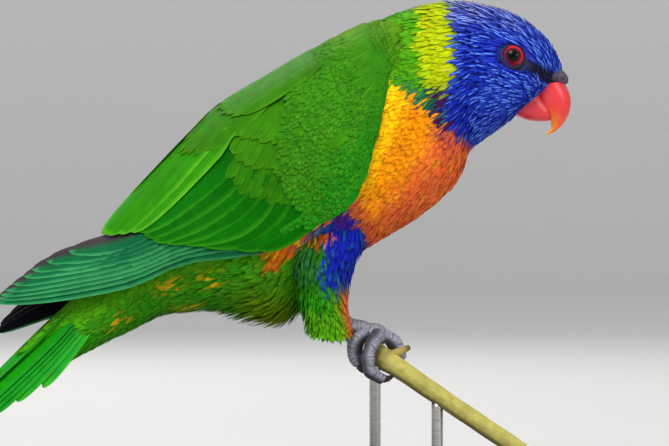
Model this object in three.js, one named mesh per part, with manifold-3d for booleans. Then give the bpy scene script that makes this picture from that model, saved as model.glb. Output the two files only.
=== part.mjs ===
// A life-size rainbow lorikeet, perched with its wings folded, on a short cut branch that a plain
// stand holds. Millimetres, +Z up. The bird faces +X, its right side is at -Y, and the middle of its
// body is the plane y = 0.
// The origin is the middle of the underside of the stand's base.
import * as THREE from "three";
import { mergeVertices } from "three/addons/utils/BufferGeometryUtils.js";
import Module from "manifold-3d";

const wasm = await Module();
wasm.setup();

// Driving sizes
const GAP = 0.3; // what two touching pieces keep between them
const RIGHT = -1; // the side of the body, as the sign of y
const LEFT = 1;

// The trunk is lofted through ribs, from the face to the tail's coverts. A rib runs from a point of
// the back to a point of the belly, both in the plane y = 0, and half is its half width across.
const TRUNK_RIBS = [
  { back: [87.2, 149.6], belly: [71.6, 135.7], half: 5.6 }, // face, behind the bill
  { back: [86.1, 153.4], belly: [67.7, 132.7], half: 9.2 },
  { back: [82.1, 161.1], belly: [63.9, 129.9], half: 12.4 },
  { back: [71.9, 169.5], belly: [58.6, 126.4], half: 14.8 }, // cheeks
  { back: [57.9, 174.1], belly: [53.7, 122.2], half: 16.8 }, // nape and throat
  { back: [43.9, 174.8], belly: [51.6, 115.2], half: 19.5 }, // collar
  { back: [28.1, 170.6], belly: [46.0, 107.4], half: 23.0 }, // shoulders and breast
  { back: [12.3, 162.6], belly: [36.8, 99.7], half: 26.0 },
  { back: [-3.0, 153.4], belly: [25.6, 92.7], half: 27.2 },
  { back: [-17.6, 141.4], belly: [14.4, 86.0], half: 27.2 }, // belly
  { back: [-28.3, 128.6], belly: [2.5, 76.5], half: 25.5 },
  { back: [-38.6, 116.6], belly: [-11.2, 65.2], half: 22.5 },
  { back: [-47.1, 105.4], belly: [-26.3, 66.2], half: 18.6 }, // rump and vent
  { back: [-54.6, 94.8], belly: [-40.4, 66.3], half: 14.6 },
  { back: [-64.0, 86.0], belly: [-53.3, 65.0], half: 11.2 }, // tail's root
  { back: [-74.4, 79.6], belly: [-64.9, 59.4], half: 9.0 },
  { back: [-83.6, 72.6], belly: [-76.5, 53.4], half: 7.2 },
  { back: [-91.6, 65.0], belly: [-85.3, 48.6], half: 4.6 },
];
// Rib numbers where the trunk is parted, with fractions between two ribs
const FACE = 0;
const NAPE = 4.55;
const SHOULDER = 5.5;
const TAIL_ROOT = 14;
const COVERT_END = 16.4;

// Head
const EYE = { rib: 2.89, angle: 66, radius: 4.1, sunk: 3.0 };
const LID = { radius: 3.75, thick: 0.75, proud: 0.3 };
const NOSTRIL = { x: 86.0, z: 148.2, radius: 0.85, out: 4.6 };
const UPPER_BILL = [
  { back: [87.6, 145.9], belly: [76.4, 144.0], half: 5.9 },
  { back: [89.4, 142.4], belly: [77.7, 140.7], half: 5.7 },
  { back: [89.7, 138.4], belly: [79.6, 137.3], half: 5.0 },
  { back: [88.6, 134.4], belly: [82.3, 134.0], half: 3.6 },
  { back: [86.3, 131.0], belly: [82.8, 130.9], half: 2.1 },
  { back: [83.6, 129.1], belly: [81.9, 129.6], half: 1.1 },
  { back: [81.4, 128.1], belly: [81.1, 128.3], half: 0.3 },
];
const LOWER_BILL = [
  { back: [76.9, 143.6], belly: [70.0, 135.2], half: 5.2 },
  { back: [79.2, 140.4], belly: [74.4, 133.4], half: 5.0 },
  { back: [81.4, 137.2], belly: [78.6, 132.9], half: 4.1 },
  { back: [83.2, 134.4], belly: [81.8, 133.0], half: 2.0 },
];
const CERE = [
  { back: [79.8, 149.0], belly: [79.0, 146.6], half: 5.6 },
  { back: [82.6, 150.5], belly: [82.0, 146.3], half: 6.4 },
  { back: [86.2, 150.9], belly: [86.1, 145.9], half: 6.0 },
  { back: [88.9, 149.2], belly: [88.9, 145.9], half: 4.2 },
];

// Legs: half the distance between them, and a thigh's ribs, whose back and belly are its rear and front
const HIP = 14.5;
const THIGH = [
  { back: [-7.0, 104.0], belly: [17.0, 99.0], half: 3.5 },
  { back: [-9.5, 95.0], belly: [17.5, 90.5], half: 7.5 },
  { back: [-9.0, 85.0], belly: [13.7, 81.5], half: 10.0 },
  { back: [-6.6, 75.0], belly: [11.8, 73.5], half: 9.6 },
  { back: [-4.2, 66.0], belly: [11.4, 67.2], half: 8.2 },
  { back: [-2.4, 59.6], belly: [12.6, 61.6], half: 6.4 },
  { back: [1.6, 55.0], belly: [11.6, 57.2], half: 3.2 },
];
const TOE_RADII = [2.6, 2.3, 2.3, 2.0]; // from a toe's root to its claw
const CLAW_RADII = [1.5, 1.1, 0.25];

// Perch: a branch whose middle line runs across under the feet, then turns down and forward
const PERCH_X = 21.4; // its middle where the feet grip
const PERCH_Z = 52.0;
const STUB_RADII = [2.1, 1.5, 0.9]; // the cut twig on it, from its root to its end

// Stand
const BASE = { long: 132, wide: 92, high: 12, round: 22, bevel: 1.5 };
const ROD_RADIUS = 2.0;
const RODS = { front: [PERCH_X + 21, -15.4], back: [PERCH_X, 25.5] };

// Feathers
const CAMBER = 26; // the radius that a feather's blade is bent to, across it

const FINISHES = {
  blue: { color: 0x2437a8, roughness: 0.7 },
  lime: { color: 0xb4cc12, roughness: 0.75 },
  orange: { color: 0xf28a10, roughness: 0.75 },
  green: { color: 0x2f9a10, roughness: 0.6 },
  thigh: { color: 0x1d8a14, roughness: 0.75 },
  red: { color: 0xe2313c, roughness: 0.3 },
  cere: { color: 0x4a4450, roughness: 0.6 },
  eye: { color: 0x9c1230, roughness: 0.08 },
  foot: { color: 0x6d7079, roughness: 0.65 },
  claw: { color: 0x2b282b, roughness: 0.4 },
  bark: { color: 0xa39a52, roughness: 0.85 },
  wood: { color: 0x3d2a1d, roughness: 0.45 },
  steel: { color: 0xa8a8a6, roughness: 0.35, metalness: 1 },
};

// Solids

const point = (x, y, z) => new THREE.Vector3(x, y, z);
const mix = (a, b, t) => a + (b - a) * t;
// A curve through its first, middle and last value.
const bent = ([a, b, c], t) => a * 2 * (t - 0.5) * (t - 1) + b * 4 * t * (1 - t) + c * 2 * t * (t - 0.5);

// A closed solid from positions and triangles, turned to face outwards.
function solidFrom(points, triangles) {
  const volume = triangles.reduce((sum, [a, b, c]) => {
    const cross = new THREE.Vector3().crossVectors(points[b], points[c]);
    return sum + points[a].dot(cross);
  }, 0);
  const facing = volume < 0 ? triangles.map(([a, b, c]) => [a, c, b]) : triangles;
  return new wasm.Manifold(
    new wasm.Mesh({
      numProp: 3,
      vertProperties: new Float32Array(points.flatMap((p) => p.toArray())),
      triVerts: new Uint32Array(facing.flat()),
    }),
  );
}

// A solid from a three.js geometry.
function solidOf(geometry) {
  const bare = geometry.clone();
  bare.deleteAttribute("normal");
  bare.deleteAttribute("uv");
  const merged = mergeVertices(bare, 1e-4);
  return new wasm.Manifold(
    new wasm.Mesh({
      numProp: 3,
      vertProperties: merged.attributes.position.array,
      triVerts: new Uint32Array(merged.index.array),
    }),
  );
}

// Skins closed rings of points, in order, and closes both ends with a fan.
function ringSolid(rings) {
  const around = rings[0].length;
  const points = rings.flat();
  const triangles = [];
  for (let i = 0; i + 1 < rings.length; i++)
    for (let j = 0; j < around; j++) {
      const [a, b] = [i * around + j, i * around + ((j + 1) % around)];
      triangles.push([a, b, b + around], [a, b + around, a + around]);
    }
  for (const [i, turned] of [[0, true], [rings.length - 1, false]]) {
    const middle = points.length;
    points.push(rings[i].reduce((sum, p) => sum.add(p), point(0, 0, 0)).divideScalar(around));
    for (let j = 0; j < around; j++) {
      const [a, b] = [i * around + j, i * around + ((j + 1) % around)];
      triangles.push(turned ? [b, a, middle] : [a, b, middle]);
    }
  }
  return solidFrom(points, triangles);
}

// A thin body between two grids of points of one size, split into triangles alike on both faces.
function sheetSolid(top, bottom) {
  const [rows, columns] = [top.length, top[0].length];
  const points = [...top.flat(), ...bottom.flat()];
  const under = rows * columns;
  const at = (i, j) => i * columns + j;
  const triangles = [];
  for (let i = 0; i + 1 < rows; i++)
    for (let j = 0; j + 1 < columns; j++) {
      const [a, b, c, d] = [at(i, j), at(i, j + 1), at(i + 1, j + 1), at(i + 1, j)];
      triangles.push([a, b, c], [a, c, d]);
      triangles.push([under + a, under + c, under + b], [under + a, under + d, under + c]);
    }
  const edge = [];
  for (let j = 0; j < columns; j++) edge.push(at(0, j));
  for (let i = 1; i < rows; i++) edge.push(at(i, columns - 1));
  for (let j = columns - 2; j >= 0; j--) edge.push(at(rows - 1, j));
  for (let i = rows - 2; i > 0; i--) edge.push(at(i, 0));
  edge.forEach((a, k) => {
    const b = edge[(k + 1) % edge.length];
    triangles.push([a, under + a, under + b], [a, under + b, b]);
  });
  return solidFrom(points, triangles);
}

function union(solids) {
  return wasm.Manifold.union(solids);
}

// The largest closed surface of a solid.
function largest(solid) {
  return solid.decompose().sort((a, b) => b.volume() - a.volume())[0];
}

function mirrored(solid) {
  return solid.mirror([0, 1, 0]);
}

// Ribs and lofts

// A rib of a loft at any rib number, on a smooth curve through its ribs.
function ribAt(ribs, number) {
  const last = ribs.length - 1;
  const i = Math.min(Math.max(Math.floor(number), 0), last - 1);
  const t = number - i;
  const rowOf = (k) => {
    const rib = ribs[Math.min(Math.max(k, 0), last)];
    return [...rib.back, ...rib.belly, rib.half];
  };
  const [p, q, r, s] = [rowOf(i - 1), rowOf(i), rowOf(i + 1), rowOf(i + 2)];
  const row = q.map((_, k) => {
    const [m0, m1] = [(r[k] - p[k]) / 2, (s[k] - q[k]) / 2];
    const [t2, t3] = [t * t, t * t * t];
    const places = (2 * t3 - 3 * t2 + 1) * q[k] + (3 * t2 - 2 * t3) * r[k];
    return places + (t3 - 2 * t2 + t) * m0 + (t3 - t2) * m1;
  });
  return { back: row.slice(0, 2), belly: row.slice(2, 4), half: row[4] };
}

// A point of a loft: degrees are counted from the back towards the right side, grow moves it outwards.
function loftPoint(ribs, number, degrees, grow = 0, square = 1) {
  const rib = ribAt(ribs, number);
  const [dx, dz] = [rib.back[0] - rib.belly[0], rib.back[1] - rib.belly[1]];
  const length = Math.hypot(dx, dz);
  const angle = THREE.MathUtils.degToRad(degrees);
  const [up, side] = [Math.cos(angle), Math.sin(angle)];
  const along = (length / 2 + grow) * up;
  const out = (rib.half + grow) * Math.sign(side) * Math.abs(side) ** square;
  return point(
    (rib.back[0] + rib.belly[0]) / 2 + (dx / length) * along,
    -out,
    (rib.back[1] + rib.belly[1]) / 2 + (dz / length) * along,
  );
}

// A closed body over part of a loft, with perRib rings from one rib to the next.
function loft(ribs, { from = 0, to = ribs.length - 1, grow = 0, around = 24, perRib = 2, square = 1 }) {
  const count = Math.max(2, Math.ceil((to - from) * perRib));
  const rings = [];
  for (let i = 0; i <= count; i++) {
    const number = mix(from, to, i / count);
    const degrees = Array.from({ length: around }, (_, j) => (360 * j) / around);
    rings.push(degrees.map((angle) => loftPoint(ribs, number, angle, grow, square)));
  }
  return ringSolid(rings);
}

const trunk = (options) => loft(TRUNK_RIBS, { perRib: 1.6, ...options });

// The part of the trunk past a rib. Its front face is flat and keeps the gap to that rib's plane.
function trunkPast(number, options) {
  const { back, belly } = ribAt(TRUNK_RIBS, number);
  const tailwards = point(belly[1] - back[1], 0, back[0] - belly[0]).normalize();
  const reach = tailwards.dot(point(belly[0], 0, belly[1])) + GAP;
  return trunk({ from: number, ...options }).trimByPlane(tailwards.toArray(), reach);
}

// What a wing, a thigh or an eye keeps clear by: the gap, and what the facets take off it.
const CLEAR = GAP + 0.05;
const grownTorso = () => trunk({ from: SHOULDER - 0.1, to: TAIL_ROOT + 0.05, grow: CLEAR });

// How far a tube's rounded end reaches past its line, as a share of its radius
const ROUNDED = 0.55;

// A tube of changing radius along a smooth line through points.
function tube(points, radii, { sides = 6, steps = 5, ends = ROUNDED } = {}) {
  const curve = new THREE.CatmullRomCurve3(points, false, "centripetal");
  const frames = curve.computeFrenetFrames(steps);
  const rings = [];
  const ring = (t, k, scale, shift) => {
    const centre = curve.getPoint(t).addScaledVector(frames.tangents[k], shift);
    const place = t * (radii.length - 1);
    const i = Math.min(Math.floor(place), radii.length - 2);
    const radius = mix(radii[i], radii[i + 1], place - i) * scale;
    return Array.from({ length: sides }, (_, j) => {
      const angle = (2 * Math.PI * j) / sides;
      return centre
        .clone()
        .addScaledVector(frames.normals[k], radius * Math.cos(angle))
        .addScaledVector(frames.binormals[k], radius * Math.sin(angle));
    });
  };
  if (ends) rings.push(ring(0, 0, 0.5, -ends * radii[0]));
  for (let k = 0; k <= steps; k++) rings.push(ring(k / steps, k, 1, 0));
  if (ends) rings.push(ring(1, steps, 0.5, ends * radii.at(-1)));
  return ringSolid(rings);
}

function ball(centre, radius, detail = 11) {
  const sphere = new THREE.SphereGeometry(radius, detail, Math.round(detail * 0.7));
  return solidOf(sphere).translate(centre.toArray());
}

// Head

const eyeCentre = () => loftPoint(TRUNK_RIBS, EYE.rib, EYE.angle, -EYE.sunk);

function eyeSolid() {
  return ball(eyeCentre(), EYE.radius);
}

// A ring of skin round the eye, which the lids make.
function lidRing() {
  const ring = new THREE.TorusGeometry(LID.radius, LID.thick, 4, 12).rotateX(Math.PI / 2);
  const centre = eyeCentre();
  const out = Math.sqrt(EYE.radius ** 2 - LID.radius ** 2) + LID.proud;
  return solidOf(ring).translate([centre.x, centre.y + RIGHT * out, centre.z]);
}

function head() {
  const skull = trunk({ from: FACE, to: NAPE });
  const lids = lidRing();
  const socket = ball(eyeCentre(), EYE.radius + CLEAR);
  return largest(union([skull, lids, mirrored(lids)]).subtract(union([socket, mirrored(socket)])));
}

// The face grown by the gap, also forwards, for what sits against it.
function grownFace() {
  const face = trunk({ from: FACE, to: 2, grow: GAP });
  return face.add(face.translate([0.7 * GAP, 0, -0.75 * GAP]));
}

const upperBillWhole = (grow = 0) => loft(UPPER_BILL, { around: 14, perRib: 1.7, square: 0.8, grow });

function upperBill() {
  return largest(upperBillWhole().subtract(grownFace()));
}

function lowerBill() {
  const whole = loft(LOWER_BILL, { around: 12, perRib: 1.7, square: 0.7 });
  return largest(whole.subtract(union([grownFace(), upperBillWhole(GAP)])));
}

function cere() {
  const whole = loft(CERE, { around: 12, perRib: 1 });
  const nostril = ball(point(NOSTRIL.x, RIGHT * NOSTRIL.out, NOSTRIL.z), NOSTRIL.radius, 6);
  const bill = upperBillWhole(GAP);
  const room = union([grownFace(), bill, bill.translate([0, 0, GAP]), nostril, mirrored(nostril)]);
  return largest(whole.subtract(room));
}

// Feathers

// A smooth surface that feathers are laid on. at(u, v) gives its points: u runs towards the tail, and v
// across, from the back or the left side towards the right side, so that its normals point outwards.
class Surface {
  constructor(at) {
    this.at = at;
  }

  normal(u, v) {
    const step = 0.02;
    const along = this.at(u + step, v).sub(this.at(u - step, v));
    const across = this.at(u, v + step).sub(this.at(u, v - step));
    return along.cross(across).normalize();
  }
}

// A point of a smooth curve through points, at a place counted in points.
function through(points, place) {
  const last = points.length - 1;
  const i = Math.min(Math.max(Math.floor(place), 0), last - 1);
  const pick = (k) => points[Math.min(Math.max(k, 0), last)];
  const [p, q, r, s] = [pick(i - 1), pick(i), pick(i + 1), pick(i + 2)];
  const t = place - i;
  const blend = (a, b, c, d) => {
    const [square, cube] = [2 * a - 5 * b + 4 * c - d, 3 * b - a - 3 * c + d];
    return 0.5 * (2 * b + (c - a) * t + square * t * t + cube * t * t * t);
  };
  return point(blend(p.x, q.x, r.x, s.x), blend(p.y, q.y, r.y, s.y), blend(p.z, q.z, r.z, s.z));
}

// How wide a feather is along its length, as a share of its full width: round or pointed at its tip.
function outline(t, pointed) {
  const shoulder = 1 - pointed;
  const rootward = Math.min(1, 0.6 + 1.6 * t);
  const tipward = t < shoulder ? 1 : Math.sqrt(Math.max(0, 1 - ((t - shoulder) / pointed) ** 2));
  return Math.max(rootward * tipward, 0.1);
}

// One feather's blade on a surface, from its root to its tip, both [u, v], bowed sideways by bow. height
// is how far it stands off the surface at root and tip, and tilt raises its edge at the greater v and
// sinks the other one. It thins towards its tip, and its rows lie closer there.
function vane(surface, blade) {
  const { root, tip, width, height, tilt, thick, bow = 0, pointed = 0.5, rows = 4, columns = 2 } = blade;
  const centre = (t) => [mix(root[0], tip[0], t), mix(root[1], tip[1], t) + 4 * bow * t * (1 - t)];
  const [top, bottom] = [[], []];
  for (let i = 0; i <= rows; i++) {
    const t = 1 - (1 - i / rows) ** 1.6;
    const middle = surface.at(...centre(t));
    const normal = surface.normal(...centre(t));
    const along = surface.at(...centre(t + 0.02)).sub(surface.at(...centre(t - 0.02)));
    const across = new THREE.Vector3().crossVectors(normal, along).normalize();
    const half = (width / 2) * outline(t, pointed);
    const depth = thick * mix(1, 0.6, t);
    const lean = tilt * Math.min(1, 3 * (1 - t) + 0.3);
    const row = (offset) =>
      Array.from({ length: columns + 1 }, (_, j) => {
        const side = (2 * j) / columns - 1;
        const rise = mix(height[0], height[1], t) + lean * side - (side * half) ** 2 / (2 * CAMBER);
        return middle.clone().addScaledVector(across, side * half).addScaledVector(normal, rise + offset);
      });
    top.push(row(depth / 2));
    bottom.push(row(-depth / 2));
  }
  return sheetSolid(top, bottom);
}

// A row of feathers. root and tip each give three places of the row, its first, middle and last feather.
function tier(surface, { count, root, tip, width, ...rest }) {
  const placed = (three, s) => [0, 1].map((axis) => bent(three.map((place) => place[axis]), s));
  return Array.from({ length: count }, (_, k) => {
    const s = k / (count - 1);
    const ends = { root: placed(root, s), tip: placed(tip, s) };
    return vane(surface, { ...rest, ...ends, width: mix(width[0], width[1], s) });
  });
}

// Wing

// The wing lies on a surface of its own: rows across it, each from its upper edge near the back to its
// lower edge. The first rows follow the trunk, between two angles of a rib, and arch up off it by rise at
// the upper edge. The last ones are free.
const WING_ON_TRUNK = [
  { rib: 5.75, top: 34, bottom: 84, rise: 0 },
  { rib: 6.3, top: 20, bottom: 100, rise: 0 },
  { rib: 7, top: 11, bottom: 113, rise: 0 },
  { rib: 8, top: 7, bottom: 118, rise: 0.6 },
  { rib: 9, top: 5, bottom: 116, rise: 3.0 },
  { rib: 10, top: 3, bottom: 109, rise: 8.4 },
  { rib: 11, top: 2.5, bottom: 103, rise: 10.1 },
];
const WING_FREE = [
  { top: [-64.7, -1.8, 106.2], middle: [-54.0, -19.2, 93.2], bottom: [-45.5, -21.5, 83.5] },
  { top: [-75.5, -4.0, 95.0], middle: [-67.0, -15.0, 84.5], bottom: [-61.0, -17.0, 76.5] },
  { top: [-90.5, -4.6, 86.6], middle: [-83.5, -11.0, 78.8], bottom: [-79.0, -12.8, 73.2] },
  { top: [-103.0, -4.8, 79.6], middle: [-99.0, -8.0, 74.6], bottom: [-97.0, -9.0, 70.9] },
  { top: [-114.0, -5.0, 73.6], middle: [-113.4, -5.8, 71.4], bottom: [-113.0, -6.2, 69.4] },
];
const WING_ACROSS = 5; // points of a row
const WING_LIFT = 2.3; // how far the wing's surface stands off the trunk
const LEFT_TIP_DROP = 11.5; // the left wing's tip lies lower and crosses under the right one

// Rows of feathers, from the deepest to the topmost. Each feather's lower edge lies over the next one.
const FLIGHT = { thick: 1.0, tilt: 0.6, rows: 4, columns: 2 };
const COVERT = { thick: 1.4, tilt: 0.5, rows: 3, columns: 1, pointed: 0.6 };
const WING_TIERS = {
  primaries: {
    ...FLIGHT, columns: 1, count: 7, width: [13, 10.5], pointed: 0.62, height: [-0.2, -0.1], bow: 0.02,
    root: [[6.6, 0.4], [6.2, 0.74], [5.7, 0.97]],
    tip: [[8.75, 0.06], [10.3, 0.18], [10.9, 0.85]],
  },
  secondaries: {
    ...FLIGHT, count: 5, width: [16, 13], height: [0.3, 0.7], bow: 0.05,
    root: [[5.2, 0.4], [4.8, 0.66], [4.0, 0.93]],
    tip: [[7.25, 0.3], [6.9, 0.68], [5.8, 0.95]],
  },
  tertials: {
    ...FLIGHT, count: 2, width: [19, 18], height: [0.7, 1.0],
    root: [[5.0, 0.08], [5.0, 0.18], [5.0, 0.28]],
    tip: [[7.95, 0.1], [7.7, 0.18], [7.4, 0.27]],
  },
  primary_coverts: {
    ...COVERT, count: 2, width: [13, 13], height: [0.2, 0.7], bow: 0.02,
    root: [[2.7, 0.86], [3.4, 0.9], [4.3, 0.94]],
    tip: [[4.0, 0.99], [4.8, 0.98], [5.6, 0.94]],
  },
  greater_coverts: {
    ...COVERT, count: 5, width: [14.5, 14], height: [0.5, 0.9],
    root: [[4.4, 0.32], [4.0, 0.56], [3.0, 0.76]],
    tip: [[5.75, 0.52], [5.35, 0.77], [3.9, 0.92]],
  },
  median_coverts: {
    ...COVERT, count: 4, width: [15, 14], height: [0.7, 1.2],
    root: [[4.1, 0.28], [3.7, 0.5], [2.6, 0.7]],
    tip: [[5.1, 0.38], [4.6, 0.62], [3.2, 0.83]],
  },
  lesser_coverts: {
    ...COVERT, count: 3, width: [17, 15], height: [0.7, 1.4],
    root: [[3.1, 0.28], [2.5, 0.45], [1.6, 0.6]],
    tip: [[4.3, 0.38], [3.7, 0.54], [2.5, 0.74]],
  },
  scapulars: {
    ...COVERT, count: 2, width: [19, 19], height: [0.7, 1.2],
    root: [[3.0, 0.07], [3.1, 0.14], [3.2, 0.22]],
    tip: [[5.5, 0.09], [5.5, 0.18], [5.5, 0.27]],
  },
};
// The folded arm under them: its part of the surface, and how low and high it reaches off it. Its lower
// edge, the front of the wing, starts at the shoulder and curves down to the wing's full depth.
const wingEdge = (u) => Math.min(0.99, 0.52 + 0.33 * (u - 1.5) - 0.053 * (u - 1.5) ** 2);
const ARM = { u: [1.5, 6.1], v: [0.02, wingEdge], low: -8, frontHigh: -0.7, high: 0.5, columns: 4 };

function wingSurface(drop) {
  const onTrunk = WING_ON_TRUNK.map(({ rib, top, bottom, rise }) =>
    Array.from({ length: WING_ACROSS }, (_, k) => {
      const across = k / (WING_ACROSS - 1);
      return loftPoint(TRUNK_RIBS, rib, mix(top, bottom, across), WING_LIFT + rise * (1 - across) ** 2);
    }),
  );
  const free = WING_FREE.map(({ top, middle, bottom }, row) =>
    Array.from({ length: WING_ACROSS }, (_, k) => {
      const value = (axis) => bent([top[axis], middle[axis], bottom[axis]], k / (WING_ACROSS - 1));
      return point(value(0), value(1), value(2) - drop * ((row + 1) / WING_FREE.length) ** 2.4);
    }),
  );
  const rows = [...onTrunk, ...free];
  return new Surface((u, v) => through(rows.map((row) => through(row, v * (row.length - 1))), u));
}

// A plate between two heights over a part of a surface. v1(u) is its lower edge, and its front is as
// high as frontHigh.
function plate(surface, { u: [u0, u1], v: [v0, v1], low, high, frontHigh = high, columns = 6 }) {
  const rows = 9;
  const grid = (height) =>
    Array.from({ length: rows + 1 }, (_, i) =>
      Array.from({ length: columns + 1 }, (_, j) => {
        const u = mix(u0, u1, i / rows);
        const v = mix(v0, v1(u), j / columns);
        return surface.at(u, v).addScaledVector(surface.normal(u, v), height(i / rows));
      }),
    );
  return sheetSolid(
    grid((t) => mix(frontHigh, high, Math.min(1, 6 * t))),
    grid(() => low),
  );
}

function wing(side) {
  const surface = wingSurface(side === LEFT ? LEFT_TIP_DROP : 0);
  const arm = plate(surface, ARM);
  const feathers = Object.values(WING_TIERS).flatMap((row) => tier(surface, row));
  const whole = union([arm, ...feathers]).subtract(grownTorso());
  // the two wings keep a gap between them over the back
  return largest(whole.trimByPlane([0, RIGHT, 0], GAP / 2));
}

// Tail

// The tail is a narrow roof. Its ridge starts at start and slopes down behind, and the whole tail is
// rolled a little, so that its upper side turns to the bird's right.
const TAIL = { start: [-65.9, 86.3], slope: 44, roll: 22, halfWidth: 17, depth: 14 };
// Pairs of tail feathers from the middle pair outwards, each shorter than the last and lying under it.
const TAIL_LENGTHS = [97, 90, 82, 73, 63, 53];
const TAIL_FEATHER = { thick: 1.0, pointed: 0.7, tilt: 0.45, rows: 3, columns: 1 };

function tailSurface() {
  const { start, slope, roll, halfWidth, depth } = TAIL;
  const [down, turn] = [THREE.MathUtils.degToRad(slope), THREE.MathUtils.degToRad(roll)];
  const along = point(-Math.cos(down), 0, -Math.sin(down));
  const above = point(-Math.sin(down), 0, Math.cos(down));
  const right = point(0, RIGHT, 0);
  const across = right.clone().multiplyScalar(Math.cos(turn)).addScaledVector(above, -Math.sin(turn));
  const up = above.clone().multiplyScalar(Math.cos(turn)).addScaledVector(right, Math.sin(turn));
  // u counts centimetres along the tail, and v goes from its left edge, -1, to its right edge, 1
  return new Surface((u, v) =>
    point(start[0], 0, start[1])
      .addScaledVector(along, 10 * u)
      .addScaledVector(across, halfWidth * v)
      .addScaledVector(up, -depth * Math.abs(v) ** 1.5),
  );
}

function tailFeathers() {
  const surface = tailSurface();
  return TAIL_LENGTHS.flatMap((length, pair) =>
    [-1, 1].map((side) =>
      vane(surface, {
        ...TAIL_FEATHER,
        root: [1.6, side * (0.08 + 0.035 * pair)],
        tip: [length / 10, side * (0.13 + 0.12 * pair)],
        width: 10 - 0.3 * pair,
        height: [0.6 - 0.45 * pair, 0.5 - 0.4 * pair],
        tilt: side * TAIL_FEATHER.tilt,
      }),
    ),
  );
}

// The coverts grow all round the tail's root, shorter above than below. turn counts from the back.
function tailCoverts() {
  const surface = new Surface((rib, turn) => loftPoint(TRUNK_RIBS, rib, 360 * turn));
  const count = 7;
  return Array.from({ length: count }, (_, k) => {
    const turn = (k + 0.5) / count - 0.5;
    const below = Math.abs(2 * turn);
    return vane(surface, {
      ...COVERT,
      root: [14.6, turn],
      tip: [mix(16.7, 17.1, below), turn * 0.98],
      width: mix(16, 10, below),
      thick: 2.4,
      height: [-1.2, mix(-0.1, -1.1, below)],
      tilt: 0.35 * Math.sign(turn),
    });
  });
}

function tail() {
  const root = trunkPast(TAIL_ROOT, { to: COVERT_END, around: 14 });
  return largest(union([root, ...tailCoverts(), ...tailFeathers()]));
}

// Legs

function thighWhole(grow = 0) {
  return loft(THIGH, { around: 14, perRib: 1.5, grow }).translate([0, RIGHT * HIP, 0]);
}

function thigh(side) {
  // what the wing takes up, with the gap
  const room = { u: [1.5, 8], v: [0.3, () => 1.06], low: -3, high: 9, columns: 8 };
  const wingRoom = plate(wingSurface(0), room);
  const whole = largest(thighWhole().subtract(union([grownTorso(), wingRoom])));
  return side === LEFT ? mirrored(whole) : whole;
}

// A foot's lines, for the right leg, as [x, y, z] from the middle of the perch where it grips.
const TARSUS = [[-15.4, -0.6, 11.4], [-10.0, -0.4, 9.6], [-3.0, 0.2, 7.4], [1.5, 0.6, 6.4]];
const TARSUS_RADII = [2.6, 2.6, 2.9, 3.0];
const HIND_TOES = {
  outer_hind: {
    line: [[-4.2, -2.2, 7.0], [-7.2, -3.2, 4.4], [-8.0, -3.4, 0.4], [-6.6, -2.8, -3.4]],
    claw: [[-4.6, -2.2, -5.8], [-1.8, -1.6, -6.6]],
  },
  inner_hind: {
    line: [[-4.0, 2.4, 6.6], [-6.6, 3.2, 3.6], [-6.9, 3.4, 0.0], [-5.6, 3.2, -3.0]],
    claw: [[-3.6, 3.0, -5.0], [-1.0, 2.8, -5.8]],
  },
};
const RIGHT_TOES = {
  outer_front: {
    line: [[0.6, -1.6, 6.3], [-1.6, -5.2, 3.4], [-3.0, -6.6, -1.4], [-2.2, -6.2, -6.0], [1.6, -4.6, -8.6]],
    claw: [[4.0, -3.4, -8.6], [6.6, -2.2, -7.2]],
  },
  inner_front: {
    line: [[2.0, 1.8, 6.0], [5.2, 2.6, 5.0], [8.0, 3.0, 1.4], [8.4, 3.2, -1.6]],
    claw: [[7.4, 3.4, -4.4], [5.2, 3.6, -6.6]],
  },
  ...HIND_TOES,
};
const LEFT_TOES = {
  outer_front: {
    line: [[1.4, -2.2, 6.2], [5.0, -3.0, 4.4], [6.6, -3.2, 0.6], [5.6, -3.0, -3.6]],
    claw: [[3.8, -2.8, -5.8], [1.0, -2.6, -6.6]],
  },
  inner_front: {
    line: [[1.8, 1.8, 6.2], [5.2, 2.6, 4.2], [6.7, 2.8, 0.4], [5.8, 2.8, -3.2]],
    claw: [[4.0, 2.8, -5.6], [1.2, 2.8, -6.6]],
  },
  ...HIND_TOES,
};
const FOOT_PLACE = { [RIGHT]: -9.5, [LEFT]: -13.0 }; // y of the grip, as if on the right

const toesOf = (side) => (side === LEFT ? LEFT_TOES : RIGHT_TOES);
const onPerch = (side) => ([x, y, z]) => point(PERCH_X + x, FOOT_PLACE[side] + y, PERCH_Z + z);

// The branch's middle line, from its left end to its right one, as [x, y, z, radius].
const PERCH_LINE = [
  [0, 30, 0.5, 3.4],
  [-0.3, 16, 0.2, 3.6],
  [0, 2, 0, 3.6],
  [0.6, -6.5, -0.6, 3.7],
  [5.5, -12.0, -3.6, 3.5],
  [14, -14.4, -9.4, 3.3],
  [28, -16.6, -18.8, 3.1],
  [50, -18.4, -33.6, 3.1],
];
const STUB_LINE = [[4.0, -11.0, -1.5], [8.0, -11.8, 0.6], [11.4, -12.4, 2.2]];
const alongPerch = ([x, y, z]) => point(PERCH_X + x, y, PERCH_Z + z);

function perchWhole(grow = 0) {
  const radii = PERCH_LINE.map(([, , , radius]) => radius + grow);
  return tube(PERCH_LINE.map(alongPerch), radii, { sides: 10, steps: 11, ends: 0 });
}

// The branch grown by the gap, turned over where the foot on it is built as if it were the right one.
const perchRoom = (side) => (side === LEFT ? mirrored(perchWhole(GAP)) : perchWhole(GAP));

function foot(side) {
  const place = onPerch(side);
  const tarsus = tube(TARSUS.map(place), TARSUS_RADII, { steps: 4 });
  const toes = Object.values(toesOf(side)).map(({ line }) => tube(line.map(place), TOE_RADII));
  const whole = union([tarsus, ...toes]);
  return largest(whole.subtract(union([perchRoom(side), thighWhole(GAP)])));
}

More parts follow.
